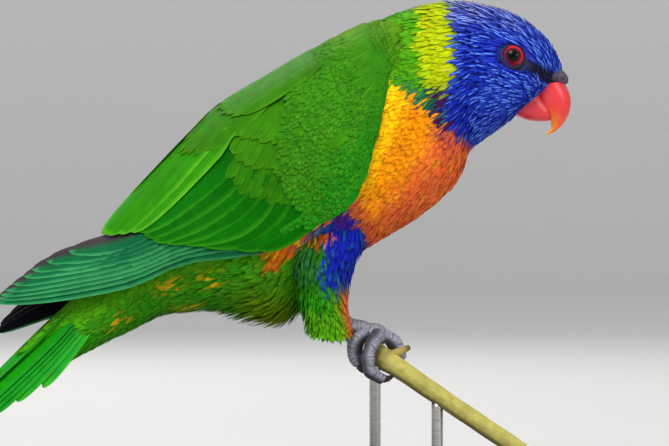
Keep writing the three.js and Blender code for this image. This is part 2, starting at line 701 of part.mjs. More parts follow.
function claw(side, toe) {
  const { line, claw: hook } = toesOf(side)[toe];
  const place = onPerch(side);
  const root = new THREE.Vector3(...line.at(-1)).lerp(new THREE.Vector3(...hook[0]), 0.45).toArray();
  const whole = tube([root, ...hook].map(place), CLAW_RADII, { steps: 4, ends: 0 });
  const toeRadii = TOE_RADII.map((radius) => radius + GAP);
  const toeRoom = tube(line.map(place), toeRadii, { ends: ROUNDED + GAP / toeRadii.at(-1) });
  return largest(whole.subtract(union([toeRoom, perchRoom(side)])));
}

// Perch and stand

function perch() {
  const stub = tube(STUB_LINE.map(alongPerch), STUB_RADII, { sides: 7, steps: 3, ends: 0 });
  return largest(perchWhole().add(stub));
}

function base() {
  const { long, wide, high, round, bevel } = BASE;
  const shape = new THREE.Shape();
  const [x, y] = [long / 2 - round, wide / 2 - round];
  shape.absarc(x, y, round, 0, Math.PI / 2);
  shape.absarc(-x, y, round, Math.PI / 2, Math.PI);
  shape.absarc(-x, -y, round, Math.PI, 1.5 * Math.PI);
  shape.absarc(x, -y, round, 1.5 * Math.PI, 2 * Math.PI);
  const slab = new THREE.ExtrudeGeometry(shape, {
    depth: high - 2 * bevel,
    bevelThickness: bevel,
    bevelSize: bevel,
    bevelOffset: -bevel,
    bevelSegments: 1,
    curveSegments: 4,
  });
  return solidOf(slab).translate([0, 0, bevel]);
}

// A rod from the base up to the perch, of which the piece under the perch is kept.
function rod([x, y]) {
  const foot = BASE.high + GAP;
  const height = PERCH_Z - foot;
  const cylinder = new THREE.CylinderGeometry(ROD_RADIUS, ROD_RADIUS, height, 12).rotateX(Math.PI / 2);
  const whole = solidOf(cylinder).translate([x, y, foot + height / 2]);
  const pieces = whole.subtract(perchWhole(GAP)).decompose();
  return pieces.sort((a, b) => a.boundingBox().min[2] - b.boundingBox().min[2])[0];
}

// The model

const model = new THREE.Group();

function add(name, solid, finish) {
  const mesh = solid.getMesh();
  const geometry = new THREE.BufferGeometry()
    .setAttribute("position", new THREE.BufferAttribute(new Float32Array(mesh.vertProperties), 3))
    .setIndex(new THREE.BufferAttribute(mesh.triVerts, 1));
  geometry.computeVertexNormals();
  const piece = new THREE.Mesh(geometry, new THREE.MeshStandardMaterial(FINISHES[finish]));
  piece.name = name;
  model.add(piece);
}

add("head", head(), "blue");
add("neck", trunkPast(NAPE, { to: SHOULDER }), "lime");
add("torso", trunkPast(SHOULDER, { to: TAIL_ROOT }), "orange");
add("tail", tail(), "green");
add("bill_upper", upperBill(), "red");
add("bill_lower", lowerBill(), "red");
add("cere", cere(), "cere");

for (const [side, word] of [[RIGHT, "right"], [LEFT, "left"]]) {
  const turned = (solid) => (side === LEFT ? mirrored(solid) : solid);
  add(`eye_${word}`, turned(eyeSolid()), "eye");
  add(`wing_${word}`, turned(wing(side)), "green");
  add(`thigh_${word}`, thigh(side), "thigh");
  add(`foot_${word}`, turned(foot(side)), "foot");
  for (const toe of Object.keys(toesOf(side))) {
    add(`claw_${word}_${toe}`, turned(claw(side, toe)), "claw");
  }
}

add("perch", perch(), "bark");
add("stand_base", base(), "wood");
add("stand_rod_front", rod(RODS.front), "steel");
add("stand_rod_back", rod(RODS.back), "steel");

export default model;
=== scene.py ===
# %% [markdown]
# This lesson builds the looks of a life-size rainbow lorikeet, perched with folded wings on a short cut
# branch that a plain stand holds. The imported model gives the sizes. Everything here is computed in
# millimetres with numpy, in the model's own frame, and turned to metres when a mesh is made. The bird
# faces +X, its right side is at -Y, and up is +Z.

import bpy
import numpy as np
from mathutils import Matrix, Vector


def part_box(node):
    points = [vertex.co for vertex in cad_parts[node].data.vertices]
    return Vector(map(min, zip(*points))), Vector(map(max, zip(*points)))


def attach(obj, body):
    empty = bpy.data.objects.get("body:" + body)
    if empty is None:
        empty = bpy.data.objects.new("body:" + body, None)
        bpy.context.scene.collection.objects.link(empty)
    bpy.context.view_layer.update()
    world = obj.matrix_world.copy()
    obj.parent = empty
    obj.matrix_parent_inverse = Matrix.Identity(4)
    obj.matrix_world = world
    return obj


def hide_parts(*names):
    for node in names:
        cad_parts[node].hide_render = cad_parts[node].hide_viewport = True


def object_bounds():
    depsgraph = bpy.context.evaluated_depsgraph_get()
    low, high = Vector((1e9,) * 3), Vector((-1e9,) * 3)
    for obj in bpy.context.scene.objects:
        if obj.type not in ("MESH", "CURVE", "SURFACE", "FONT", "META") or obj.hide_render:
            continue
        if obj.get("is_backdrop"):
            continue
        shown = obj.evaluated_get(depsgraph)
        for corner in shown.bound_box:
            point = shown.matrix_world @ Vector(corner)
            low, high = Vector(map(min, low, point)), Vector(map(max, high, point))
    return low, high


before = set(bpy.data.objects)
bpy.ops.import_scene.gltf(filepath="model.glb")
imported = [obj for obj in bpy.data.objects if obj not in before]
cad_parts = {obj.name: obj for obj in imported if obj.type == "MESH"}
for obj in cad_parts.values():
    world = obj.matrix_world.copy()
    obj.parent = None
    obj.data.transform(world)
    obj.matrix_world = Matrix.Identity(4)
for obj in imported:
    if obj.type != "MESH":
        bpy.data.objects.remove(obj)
cad_low, cad_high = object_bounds()
MM = 0.001
print("frame", [round(v / MM, 1) for v in (*cad_low, *cad_high)])

# %% [markdown]
# The photograph was taken level with the bird, square to its right side, from far enough that a long
# lens fits. At the bird's middle plane 2.85 pixels are a millimetre, so the frame's width gives the
# width of the view, and the distance and that width give the focal length.

# %% Camera
PHOTO_WIDTH = 669
PIXELS_PER_MM = 2.85
FRAME_MIDDLE = np.array([6.84, 0.0, 97.3])
CAMERA_AWAY = 1100.0
SENSOR = 36.0
view_width = PHOTO_WIDTH / PIXELS_PER_MM
camera = bpy.data.objects.new("camera", bpy.data.cameras.new("camera"))
bpy.context.scene.collection.objects.link(camera)
camera.data.sensor_width = SENSOR
camera.data.lens = SENSOR * CAMERA_AWAY / view_width
camera.location = (FRAME_MIDDLE - [0, CAMERA_AWAY, 0]) * MM
camera.rotation_euler = (np.pi / 2, 0, 0)
bpy.context.scene.camera = camera
print("lens", round(camera.data.lens, 1), "mm, view", round(view_width, 1), "mm wide")

# %% [markdown]
# Colours are written as the sRGB hex values that a paint chart or a picture would give. Shaders and
# colour attributes need linear light, so one function turns them.


# %% Colour helpers
def linear(code):
    """sRGB to linear: below 0.04045 the value over 12.92, else ((value + 0.055) / 1.055) to the power 2.4."""
    srgb = np.array([int(code[i : i + 2], 16) for i in (1, 3, 5)]) / 255
    return np.where(srgb <= 0.04045, srgb / 12.92, ((srgb + 0.055) / 1.055) ** 2.4)


def palette(codes):
    """Named hex colours as named linear ones."""
    return {name: linear(code) for name, code in codes.items()}


def blend(a, b, weight):
    """a where weight is 0, b where it is 1, and a straight mix between."""
    return a + (b - a) * np.asarray(weight)[..., None]


def rise(x, start, end):
    """0 at start and 1 at end, with the smooth step 3t^2 - 2t^3 between; end may lie below start."""
    t = np.clip((x - start) / (end - start), 0, 1)
    return t * t * (3 - 2 * t)


print("middle grey in linear light", linear("#808080").round(3))


# %% [markdown]
# A mesh is made from arrays: points in millimetres, faces as index arrays, and any map or colour as one
# value per point. The signed volume tells whether the faces look outwards, and they are turned if not.


# %% Mesh helpers
def signed_volume(points, faces):
    """A sixth of the sum of each triangle's corners' triple product, with faces cut in fans."""
    total = 0.0
    for face in faces:
        for k in range(1, face.shape[1] - 1):
            a, b, c = points[face[:, 0]], points[face[:, k]], points[face[:, k + 1]]
            total += np.einsum("ij,ij->", a, np.cross(b, c)) / 6
    return total


def mesh_object(name, shape, material):
    """Puts a shape, a dict of points, faces and optional vane, bake and tint arrays, into the scene."""
    points = np.asarray(shape["points"], float)
    faces = [np.asarray(face) for face in shape["faces"]]
    if signed_volume(points - points.mean(0), faces) < 0:
        faces = [face[:, ::-1] for face in faces]
    corners = np.concatenate([face.ravel() for face in faces]).astype(np.int32)
    sizes = np.concatenate([np.full(len(face), face.shape[1]) for face in faces])
    mesh = bpy.data.meshes.new(name)
    mesh.vertices.add(len(points))
    mesh.vertices.foreach_set("co", (points * MM).astype(np.float32).ravel())
    mesh.loops.add(len(corners))
    mesh.loops.foreach_set("vertex_index", corners)
    mesh.polygons.add(len(sizes))
    mesh.polygons.foreach_set("loop_start", (np.cumsum(sizes) - sizes).astype(np.int32))
    mesh.update(calc_edges=True)
    mesh.polygons.foreach_set("use_smooth", np.ones(len(sizes), bool))
    if "brink" in shape:
        ends = np.empty(2 * len(mesh.edges), np.int32)
        mesh.edges.foreach_get("vertices", ends)
        sharp = shape["brink"][ends].reshape(-1, 2).all(1)
        mesh.attributes.new("sharp_edge", "BOOLEAN", "EDGE").data.foreach_set("value", sharp)
    for key, label in (("bake", "OFBake"), ("vane", "Vane")):
        if key in shape:
            layer = mesh.uv_layers.new(name=label)
            layer.data.foreach_set("uv", shape[key][corners].astype(np.float32).ravel())
    for key, label in (("tint", "Tint"), ("streak", "Streak")):
        if key in shape:
            colour = shape[key]
            if colour.shape[1] == 3:
                colour = np.concatenate([colour, np.ones((len(points), 1))], 1)
            attribute = mesh.attributes.new(label, "FLOAT_COLOR", "POINT")
            attribute.data.foreach_set("color", colour.astype(np.float32).ravel())
    mesh.materials.append(material)
    made = bpy.data.objects.new(name, mesh)
    bpy.context.scene.collection.objects.link(made)
    print(name, len(points), "points,", int((sizes - 2).sum()), "triangles")
    return made


def piece(name, shape, material, nodes=()):
    """A mesh object that belongs to the model and may stand for nodes."""
    made = mesh_object(name, shape, material)
    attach(made, "root")
    if nodes:
        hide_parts(*nodes)
    return made


def joined(shapes):
    """Several shapes as one: arrays one after the other, face numbers moved on."""
    starts = np.cumsum([0] + [len(shape["points"]) for shape in shapes])
    both = {
        key: np.concatenate([shape[key] for shape in shapes])
        for key in ("points", "vane", "bake", "tint", "streak", "brink")
        if all(key in shape for shape in shapes)
    }
    both["faces"] = [face + start for shape, start in zip(shapes, starts) for face in shape["faces"]]
    return both


def tube_faces(rows, around):
    """Quads between rings that follow one another, and one many-sided face over each end."""
    i, j = np.meshgrid(np.arange(rows - 1), np.arange(around), indexing="ij")
    a, b = i * around + j, i * around + (j + 1) % around
    quads = np.stack([a, a + around, b + around, b], -1).reshape(-1, 4)
    ring = np.arange(around)
    return [quads, ring[None], ring[None, ::-1] + (rows - 1) * around]


print("a tube of 3 rings of 8 points has", [len(faces) for faces in tube_faces(3, 8)], "sides and ends")


# %% [markdown]
# Materials are small node trees. One function adds a node with its settings and links, so that each
# material reads as a list of what it is made of.


# %% Material helpers
def add(tree, kind, inputs=None, **settings):
    """Adds a node. inputs maps a socket's name or number to a value or to another node's output."""
    node = tree.nodes.new("ShaderNode" + kind)
    for key, value in settings.items():
        setattr(node, key, value)
    for key, value in (inputs or {}).items():
        if isinstance(value, bpy.types.NodeSocket):
            tree.links.new(value, node.inputs[key])
        else:
            node.inputs[key].default_value = value
    return node


def new_material(name, **surface):
    """A material whose Principled shader has the given sockets set; returns it, its tree and the shader."""
    material = bpy.data.materials.new(name)
    material.use_nodes = True
    tree = material.node_tree
    tree.nodes.clear()
    shader = add(tree, "BsdfPrincipled", {key.replace("_", " "): value for key, value in surface.items()})
    add(tree, "OutputMaterial", {"Surface": shader.outputs["BSDF"]})
    return material, tree, shader


MIDDLE_OF_NOISE = {"From Min": 0.3, "From Max": 0.7}  # where nearly all of a noise's values lie


def ramp_between(tree, factor, stops):
    """A colour ramp through (place, hex colour) stops."""
    node = add(tree, "ValToRGB", {"Fac": factor})
    elements = node.color_ramp.elements
    while len(elements) < len(stops):
        elements.new(0.5)
    for element, (place, code) in zip(elements, stops):
        element.position = place
        element.color = (*linear(code), 1)
    return node.outputs["Color"]


# %% [markdown]
# The studio is a pale bowl: a flat floor that curves up all round into a wall, so that no edge of it
# shows from any side. Its profile is turned about the vertical axis. The light is plain and soft: one
# large lamp up to the left of the camera, a weaker one to its right, one behind, and a pale sky.

# %% Floor and light
FLOOR_FLAT, FLOOR_BEND, WALL_HIGH, FLOOR_THICK = 3200.0, 1500.0, 3800.0, 20.0
SHADE_HEIGHT = 1.5  # metres over which the paint goes from grey to nearly white


def studio_bowl():
    """A profile of a floor, a quarter circle and a wall, with a copy below it, turned a full circle."""
    quarter = np.linspace(0, np.pi / 2, 24)
    radius = np.concatenate([[0.5], FLOOR_FLAT + FLOOR_BEND * np.sin(quarter), [FLOOR_FLAT + FLOOR_BEND]])
    height = np.concatenate([[0.0], FLOOR_BEND * (1 - np.cos(quarter)), [WALL_HIGH]])
    radius = np.concatenate([radius, radius[::-1] + FLOOR_THICK])
    height = np.concatenate([height, height[::-1] - FLOOR_THICK])
    angle = np.linspace(0, 2 * np.pi, 96, endpoint=False)
    ring = np.stack([np.cos(angle), np.sin(angle)], -1)
    flat = radius[:, None, None] * ring[None]
    points = np.concatenate([flat, np.broadcast_to(height[:, None, None], (*flat.shape[:2], 1))], -1)
    return {"points": points.reshape(-1, 3), "faces": tube_faces(len(radius), len(angle))}


floor_paint, tree, shader = new_material("pale_floor_paint", Roughness=0.9)
place = add(tree, "SeparateXYZ", {"Vector": add(tree, "TexCoord").outputs["Object"]})
high = add(tree, "MapRange", {"Value": place.outputs["Z"], "From Max": SHADE_HEIGHT}).outputs[0]
paint = ramp_between(tree, high, [(0.0, "#cbc9c6"), (1.0, "#f2f1ef")])
tree.links.new(paint, shader.inputs["Base Color"])
mesh_object("studio_bowl", studio_bowl(), floor_paint)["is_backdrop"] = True


def lamp(name, place, size, power):
    """A square area lamp at a place in millimetres, turned to look at the middle of the frame."""
    data = bpy.data.lights.new(name, "AREA")
    data.size = size * MM
    data.energy = power
    made = bpy.data.objects.new(name, data)
    bpy.context.scene.collection.objects.link(made)
    made.location = np.array(place) * MM
    made.rotation_euler = Vector(FRAME_MIDDLE - place).to_track_quat("-Z", "Y").to_euler()


lamp("key_lamp", (-350.0, -900.0, 1000.0), 620.0, 13.0)
lamp("fill_lamp", (900.0, -800.0, 420.0), 520.0, 3.5)
lamp("back_lamp", (-300.0, 1000.0, 900.0), 700.0, 7.0)
world = bpy.data.worlds.new("pale_sky")
world.use_nodes = True
world.node_tree.nodes["Background"].inputs["Color"].default_value = (0.93, 0.96, 1.0, 1)
world.node_tree.nodes["Background"].inputs["Strength"].default_value = 0.86
bpy.context.scene.world = world
bpy.context.scene.view_settings.view_transform = "Standard"

# %% [markdown]
# The bird's body is a loft. Each rib runs from a point of the back to a point of the belly, both in the
# plane y = 0, and has a half width across. A smooth curve through the ribs gives a rib at any number,
# and an ellipse on it gives a point at any turn round the body: 0 is the back, 1/4 the right side.

# %% Body surface
TRUNK_RIBS = np.array(
    [  # back x, back z, belly x, belly z, half width
        [87.2, 149.6, 71.6, 135.7, 5.6],  # face, behind the bill
        [86.1, 153.4, 67.7, 132.7, 9.2],
        [82.1, 161.1, 63.9, 129.9, 12.4],
        [71.9, 169.5, 58.6, 126.4, 14.8],  # cheeks
        [57.9, 174.1, 53.7, 122.2, 16.8],  # nape and throat
        [43.9, 174.8, 51.6, 115.2, 19.5],  # collar
        [28.1, 170.6, 46.0, 107.4, 23.0],  # shoulders and breast
        [12.3, 162.6, 36.8, 99.7, 26.0],
        [-3.0, 153.4, 25.6, 92.7, 27.2],
        [-17.6, 141.4, 14.4, 86.0, 27.2],  # belly
        [-28.3, 128.6, 2.5, 76.5, 25.5],
        [-38.6, 116.6, -11.2, 65.2, 22.5],
        [-47.1, 105.4, -26.3, 66.2, 18.6],  # rump and vent
        [-54.6, 94.8, -40.4, 66.3, 14.6],
        [-64.0, 86.0, -53.3, 65.0, 11.2],  # tail's root
        [-74.4, 79.6, -64.9, 59.4, 9.0],
        [-83.6, 72.6, -76.5, 53.4, 7.2],
        [-91.6, 65.0, -85.3, 48.6, 4.6],
        [-100.2, 57.2, -95.0, 42.4, 3.6],  # along the tail, for the tips of its coverts
        [-109.0, 49.2, -105.0, 35.6, 2.6],
        [-118.0, 41.0, -115.0, 29.0, 1.6],
    ]
)


def hermite(q, r, start, end, t):
    """The cubic from q to r with the slopes start and end."""
    ends = (2 * t**3 - 3 * t**2 + 1) * q + (3 * t**2 - 2 * t**3) * r
    return ends + (t**3 - 2 * t**2 + t) * start + (t**3 - t**2) * end


def row_at(rows, place):
    """A smooth curve through rows, whose slope at each is half the step between its neighbours."""
    place = np.asarray(place, float)
    last = len(rows) - 1
    i = np.clip(np.floor(place).astype(int), 0, last - 1)
    t = (place - i).reshape(place.shape + (1,) * (rows.ndim - 1))
    p, q, r, s = (rows[np.clip(i + k, 0, last)] for k in (-1, 0, 1, 2))
    return hermite(q, r, (r - p) / 2, (s - q) / 2, t)


def loft_at(ribs, number, turn, grow=0.0, square=1.0):
    """A point of a loft: along the rib by the turn's cosine and to the right by its sine, both grown."""
    back_x, back_z, belly_x, belly_z, half = np.moveaxis(row_at(ribs, number), -1, 0)
    dx, dz = back_x - belly_x, back_z - belly_z
    length = np.hypot(dx, dz)
    angle = 2 * np.pi * turn
    along = (length / 2 + grow) * np.cos(angle) / length
    out = (half + grow) * np.sign(np.sin(angle)) * np.abs(np.sin(angle)) ** square
    return np.stack([(back_x + belly_x) / 2 + dx * along, -out, (back_z + belly_z) / 2 + dz * along], -1)


def trunk_at(rib, turn):
    """The body's outer surface, where the tips of the coat lie."""
    return loft_at(TRUNK_RIBS, rib, turn)


def normal_at(at, u, v, step=0.01):
    """The outward normal of a surface: the cross product of its slopes along u and along v."""
    along = at(u + step, v) - at(u - step, v)
    across = at(u, v + step) - at(u, v - step)
    normal = np.cross(along, across)
    return normal / np.linalg.norm(normal, axis=-1, keepdims=True)


print("the widest place of the right side", trunk_at(8.5, 0.25).round(1))

# %% [markdown]
# A feather is a thin closed blade that lies on a surface, from its root to its tip. Its section is a
# ring of points: over the top from one edge to the other and back under it. Thousands are computed at
# once, as arrays of feathers by rows by ring points. Its tip can be ragged, and its edges fall away by
# a camber. Each blade has two maps: Vane in millimetres across and along it, for the barbs, and OFBake,
# a small patch at its root's place on the unwrapped skin.

# %% Feathers
PATCH = 0.003  # a blade's size on the unwrapped skin


def blades(at, root, tip, width, lift, unwrap, rng, **form):
    """Closed blades between roots and tips. Their outline widens from 0.6 to 1 of the width near the root
    and closes in an arc at the tip."""
    rows, columns = form.get("rows", 5), form.get("columns", 2)
    pointed, thick = form.get("pointed", 0.6), form.get("thick", 0.3)
    camber, ragged = form.get("camber", 14.0), form.get("ragged", 0.0)
    t = 1 - (1 - np.arange(rows + 1) / rows) ** 1.4
    side = np.concatenate([np.linspace(-1, 1, columns + 1), np.linspace(1, -1, columns + 1)[1:-1]])
    face = np.concatenate([[0], np.ones(columns - 1), [0], -np.ones(columns - 1)])
    root, tip = np.asarray(root, float), np.asarray(tip, float)
    width = np.broadcast_to(width, len(root))[:, None]
    low, high = (np.broadcast_to(value, len(root))[:, None] for value in lift)
    bow = np.broadcast_to(form.get("bow", 0.0), len(root))[:, None]
    tilt = np.broadcast_to(form.get("tilt", 0.0), len(root))[:, None, None]

    def spine(s):
        u = root[:, :1] + (tip[:, :1] - root[:, :1]) * s
        v = root[:, 1:] + (tip[:, 1:] - root[:, 1:]) * s + 4 * bow * s * (1 - s)
        return u, v

    middle = at(*spine(t))
    normal = normal_at(at, *spine(t))
    ahead = at(*spine(t + 0.03)) - at(*spine(t - 0.03))
    ahead /= np.linalg.norm(ahead, axis=-1, keepdims=True)
    across = np.cross(normal, ahead)
    across /= np.linalg.norm(across, axis=-1, keepdims=True)
    rootward = np.minimum(1, 0.6 + 1.6 * t)
    tipward = np.sqrt(np.clip(1 - (np.clip(t - 1 + pointed, 0, None) / pointed) ** 2, 0, 1))
    half = width / 2 * np.maximum(rootward * tipward, 0.08)
    offset = half[..., None] * side
    height = (low + (high - low) * t)[..., None] + tilt * side * np.minimum(1, 3 * (1 - t) + 0.3)[:, None]
    height = height - offset**2 / (2 * camber) + thick / 2 * face * (1 - 0.5 * t)[:, None]
    length = np.linalg.norm(middle[:, -1] - middle[:, 0], axis=-1)[:, None, None]
    jag = ragged * rng.uniform(-1, 1, (len(root), 1, 2 * columns)) * t[:, None] ** 2
    jag[..., columns + 1 :] = jag[..., columns - 1 : 0 : -1]
    points = (
        middle[:, :, None]
        + across[:, :, None] * offset[..., None]
        + normal[:, :, None] * height[..., None]
        + ahead[:, :, None] * (jag * length)[..., None]
    )
    count, ring = len(root), 2 * columns
    each = (rows + 1) * ring
    moves = np.arange(count)[:, None, None] * each
    one_blade = tube_faces(rows + 1, ring)
    faces = [(part[None] + moves).reshape(-1, part.shape[1]) for part in one_blade]
    vane = np.stack(np.broadcast_arrays(offset, length * t[:, None]), -1)
    patch = PATCH * np.stack(np.broadcast_arrays(side / 2, (t - 0.5)[:, None]), -1)
    bake = np.asarray(unwrap, float)[:, None, None] + patch[None]
    return {
        "points": points.reshape(-1, 3),
        "faces": faces,
        "vane": vane.reshape(-1, 2),
        "bake": bake.reshape(-1, 2),
        "brink": np.tile(np.abs(side) == 1, len(root) * (rows + 1)),
        "t": t[None, :, None],
        "side": side[None, None],
        "face": face[None, None],
    }


def painted(shape, base, shaft, rim, under=None, rim_side=0.75, rim_tip=0.8, deep=0.3, streak=(0.25, 0.5)):
    """Tint goes from base to rim at the edge and tip, and darkens to the root as painted shade where the
    feathers above cover it. Streak is the shaft's colour, and its alpha is how much of it shows: none near
    the root, and all of it past the middle."""
    t, side, face = shape.pop("t"), shape.pop("side"), shape.pop("face")
    edge = np.maximum(rise(np.abs(side), rim_side, 1.0) + 0 * t, rise(t, rim_tip, 1.0) + 0 * side)
    colour = blend(base[:, None, None] + 0 * edge[..., None], rim[:, None, None], edge)
    top = (face >= 0) + 0 * t
    if under is not None:
        colour = blend(colour, under[:, None, None], 1 - top)
    # This darkens each blade towards its root: painted shade where the feathers above cover it.
    colour = colour * (1 - deep * (1 - rise(t, 0.0, 0.45)))[..., None]
    shape["tint"] = colour.reshape(-1, 3)
    alpha = top * rise(t, *streak) * rise(t, 1.0, 0.9)
    line = np.broadcast_to(shaft[:, None, None], colour.shape)
    alpha = np.broadcast_to(alpha[..., None], (*colour.shape[:-1], 1))
    shape["streak"] = np.concatenate([line, alpha], -1).reshape(-1, 4)
    return shape


def laid(at, root, length, drift=0.0):
    """Tips of feathers that lie along u: the length over the surface's speed there, moved aside by drift."""
    u, v = root[:, 0], root[:, 1]
    speed = np.linalg.norm(at(u + 0.05, v) - at(u - 0.05, v), axis=-1) / 0.1
    return np.stack([u + length / speed, v + drift], -1)


# %% [markdown]
# The markings are painted by place on the body: a rib number, and degrees round from the back to the
# belly. Each border is a line of rib numbers against degrees, as the real borders run, and chance moves
# it a little for each feather, which gives the ragged edge that overlapping tips make.

# %% Palette and borders
HEAD_EDGE = (  # degrees from the back, and the rib where the border runs there
    [0, 43, 74, 86, 94, 104, 115, 128, 159, 180],
    [4.85, 4.82, 4.82, 4.95, 5.2, 5.32, 5.25, 4.9, 3.7, 3.4],
)
COLLAR_EDGE = ([0, 18, 36, 52, 72, 86, 93], [5.4, 5.45, 5.55, 5.7, 5.76, 5.65, 5.2])
BREAST_EDGE = (
    [58, 63, 71, 77, 84, 92, 100, 108, 115, 128, 159, 180],
    [8.5, 6.65, 6.42, 6.25, 6.07, 5.9, 5.67, 5.5, 5.27, 4.9, 3.7, 3.4],
)
YELLOW_END = ([6.1, 6.7, 7.2, 7.8, 8.3], [79, 97, 108, 118, 122])  # ribs, and the degrees there
ORANGE_END = ([5.4, 6.1, 6.6, 7.3, 8.0, 8.4], [102, 116, 123, 132, 138, 140])
BREAST_END = 8.42
VENT_SPECKS = ((12.2, 112), (13.3, 104), (13.0, 150), (15.0, 126))
LORE = np.array([[70.5, 154.5], [83.0, 147.0]])  # the dark streak from the eye to the bill, x and z
PAINT = palette(
    {
        "green": "#3f9a06",
        "lime": "#78b508",
        "deep_green": "#0d7f05",
        "collar": "#b9cc00",
        "head": "#0a22b0",
        "head_streak": "#6496ff",
        "crown": "#3b47a8",
        "crown_streak": "#c0c8fa",
        "lore": "#1d1b3e",
        "teal": "#14634f",
        "purple": "#5a1268",
        "yellow": "#ffc800",
        "orange": "#ff9600",
        "red": "#fb6236",
        "crimson": "#c01a3c",
        "belly": "#0e1fa2",
        "belly_dark": "#170c78",
        "belly_teal": "#0a5a72",
        "flank": "#e8620c",
        "flank_red": "#ee2f12",
        "flank_yellow": "#e6a512",
        "vent": "#8c9204",
        "bar": "#6a2030",
        "wine": "#3c1450",
    }
)
print(len(PAINT), "paints for the coat")

# %% [markdown]
# Each area of the coat has a function of its own. It takes the three colours of a feather, its base, its
# shaft and its rim, and turns them to its own ones where its weight says. They are painted in order, from
# the green that lies everywhere to the head.


# %% Places and mixing
def degrees_down(turn):
    """Degrees from the back, the same for both sides."""
    return 360 * np.abs((turn + 0.5) % 1 - 0.5)


def past(edge, r, a):
    """How many ribs a place lies behind a border."""
    return r - np.interp(a, *edge)


def spot(rib, degrees, at_rib, at_degrees, ribs, width):
    """A round mark: a bell curve of the distance in ribs and degrees."""
    return np.exp(-(((rib - at_rib) / ribs) ** 2) - ((degrees - at_degrees) / width) ** 2)


def away_from_line(places, start, end):
    """The distance of places to the straight line between two points."""
    share = np.clip((places - start) @ (end - start) / ((end - start) @ (end - start)), 0, 1)
    return np.linalg.norm(places - start - share[..., None] * (end - start), axis=-1)


def over(colours, paints, weight):
    """Base, shaft and rim, each turned to its own paint by the weight."""
    return [blend(colour, paint, weight) for colour, paint in zip(colours, paints)]


def flecks(chance, yellow_above):
    """Orange, with some feathers yellow and some red."""
    warm = blend(PAINT["flank"], PAINT["flank_yellow"], chance > yellow_above)
    return blend(warm, PAINT["flank_red"], chance < 0.25)


print("the collar starts", past(HEAD_EDGE, 5.0, 40.0).round(2), "ribs in front of rib 5")


# %% Markings
def green_parts(r, a, chance, other):
    """Green all over, lime on the mantle, deeper below, with olive at the vent and yellow specks behind."""
    mantle = rise(a, 75, 35) * rise(r, 5.6, 6.6) * rise(r, 12.5, 11) * (0.2 + 0.5 * other)
    base = blend(PAINT["green"], PAINT["lime"], mantle)
    base = blend(base, PAINT["deep_green"], rise(a, 88, 108) * rise(r, 8.4, 9.6))
    base = blend(base, PAINT["vent"], spot(r, a, 11.2, 165, 0.55, 32) * (0.5 + 0.5 * chance))
    for at_rib, at_degrees in VENT_SPECKS:
        speck = 0.8 * spot(r, a, at_rib, at_degrees, 0.3, 9) * (chance > 0.5)
        base = blend(base, PAINT["flank_yellow"], speck)
    return base, blend(base, PAINT["lime"], 0.25 + 0 * r), blend(base, PAINT["lime"], 0.3 * other)


def flank_and_belly(colours, r, a, chance):
    """Orange flecks along the flank, and the blue belly with teal and purple in it."""
    flank = rise(r, 8.5, 8.8) * rise(r, 10.9, 10.4) * rise(a, 126, 118) * rise(a, 100, 104)
    colours = over(colours, [flecks(chance, 0.66)] * 3, flank * 0.92)
    belly = rise(r, BREAST_END - 0.04, BREAST_END + 0.04) * rise(r, 10.2, 9.5) * rise(a, 117, 123)
    blue = blend(PAINT["belly"], PAINT["belly_dark"], rise(a, 130, 170) * 0.6)
    blue = blend(blue, PAINT["belly_teal"], spot(r, a, 9.6, 128, 0.5, 12) * 0.9)
    blue = blend(blue, PAINT["purple"], spot(r, a, 8.6, 124, 0.25, 12) * 0.9)
    return over(colours, [blue] * 3, belly)


def throat_and_breast(colours, r, a, chance, other):
    """A wine throat, then yellow beside the wing, orange, and red in front with dark bars, and teal along
    the upper border."""
    throat = rise(a, 86, 92) * rise(a, 114, 108) * rise(past(HEAD_EDGE, r, a), -0.08, 0.08)
    colours = over(colours, [PAINT["wine"]] * 3, throat * rise(r, 6.3, 6.0))
    behind = past(BREAST_EDGE, r, a)
    breast = rise(behind, -0.04, 0.04) * rise(r, BREAST_END + 0.04, BREAST_END - 0.04) * rise(a, 57, 62)
    orange = rise(a - np.interp(r, *YELLOW_END), -9, 9)
    red = rise(a - np.interp(r, *ORANGE_END), -10, 14)
    warm = blend(blend(PAINT["yellow"], PAINT["orange"], orange), PAINT["red"], red)
    warm = blend(warm, PAINT["yellow"], 0.35 * (other > 0.85) * orange)
    low_front = rise(r, 7.9, 8.3) * rise(a, 112, 122) * rise(a, 165, 140)
    warm = blend(warm, PAINT["crimson"], low_front * 0.9)
    bars = red * (0.08 + 0.35 * chance * rise(a, 122, 150))
    rim = blend(blend(warm, PAINT["orange"], 0.35 * orange), PAINT["bar"], bars)
    rim = blend(rim, PAINT["purple"], red * rise(behind, 0.7, 0.1) * rise(a, 92, 104) * 0.85)
    colours = over(colours, (warm, blend(warm, PAINT["yellow"], 0.1 + 0 * r), rim), breast)
    teal = rise(behind, -0.34, -0.12) * (1 - breast) * rise(a, 72, 80) * rise(a, 104, 96)
    return over(colours, [PAINT["teal"]] * 3, teal * rise(r, 6.7, 6.4) * 0.85)


def collar_band(colours, r, a, chance, other):
    """The yellow-green band between the head and the nape, which ends above the throat."""
    collar = rise(past(HEAD_EDGE, r, a), -0.05, 0.05) * rise(past(COLLAR_EDGE, r, a), 0.08, -0.08)
    shaft = blend(PAINT["collar"], PAINT["yellow"], 0.4 * other)
    rim = blend(PAINT["collar"], PAINT["green"], 0.35 * chance)
    return over(colours, (PAINT["collar"], shaft, rim), collar * rise(a, 95, 86))


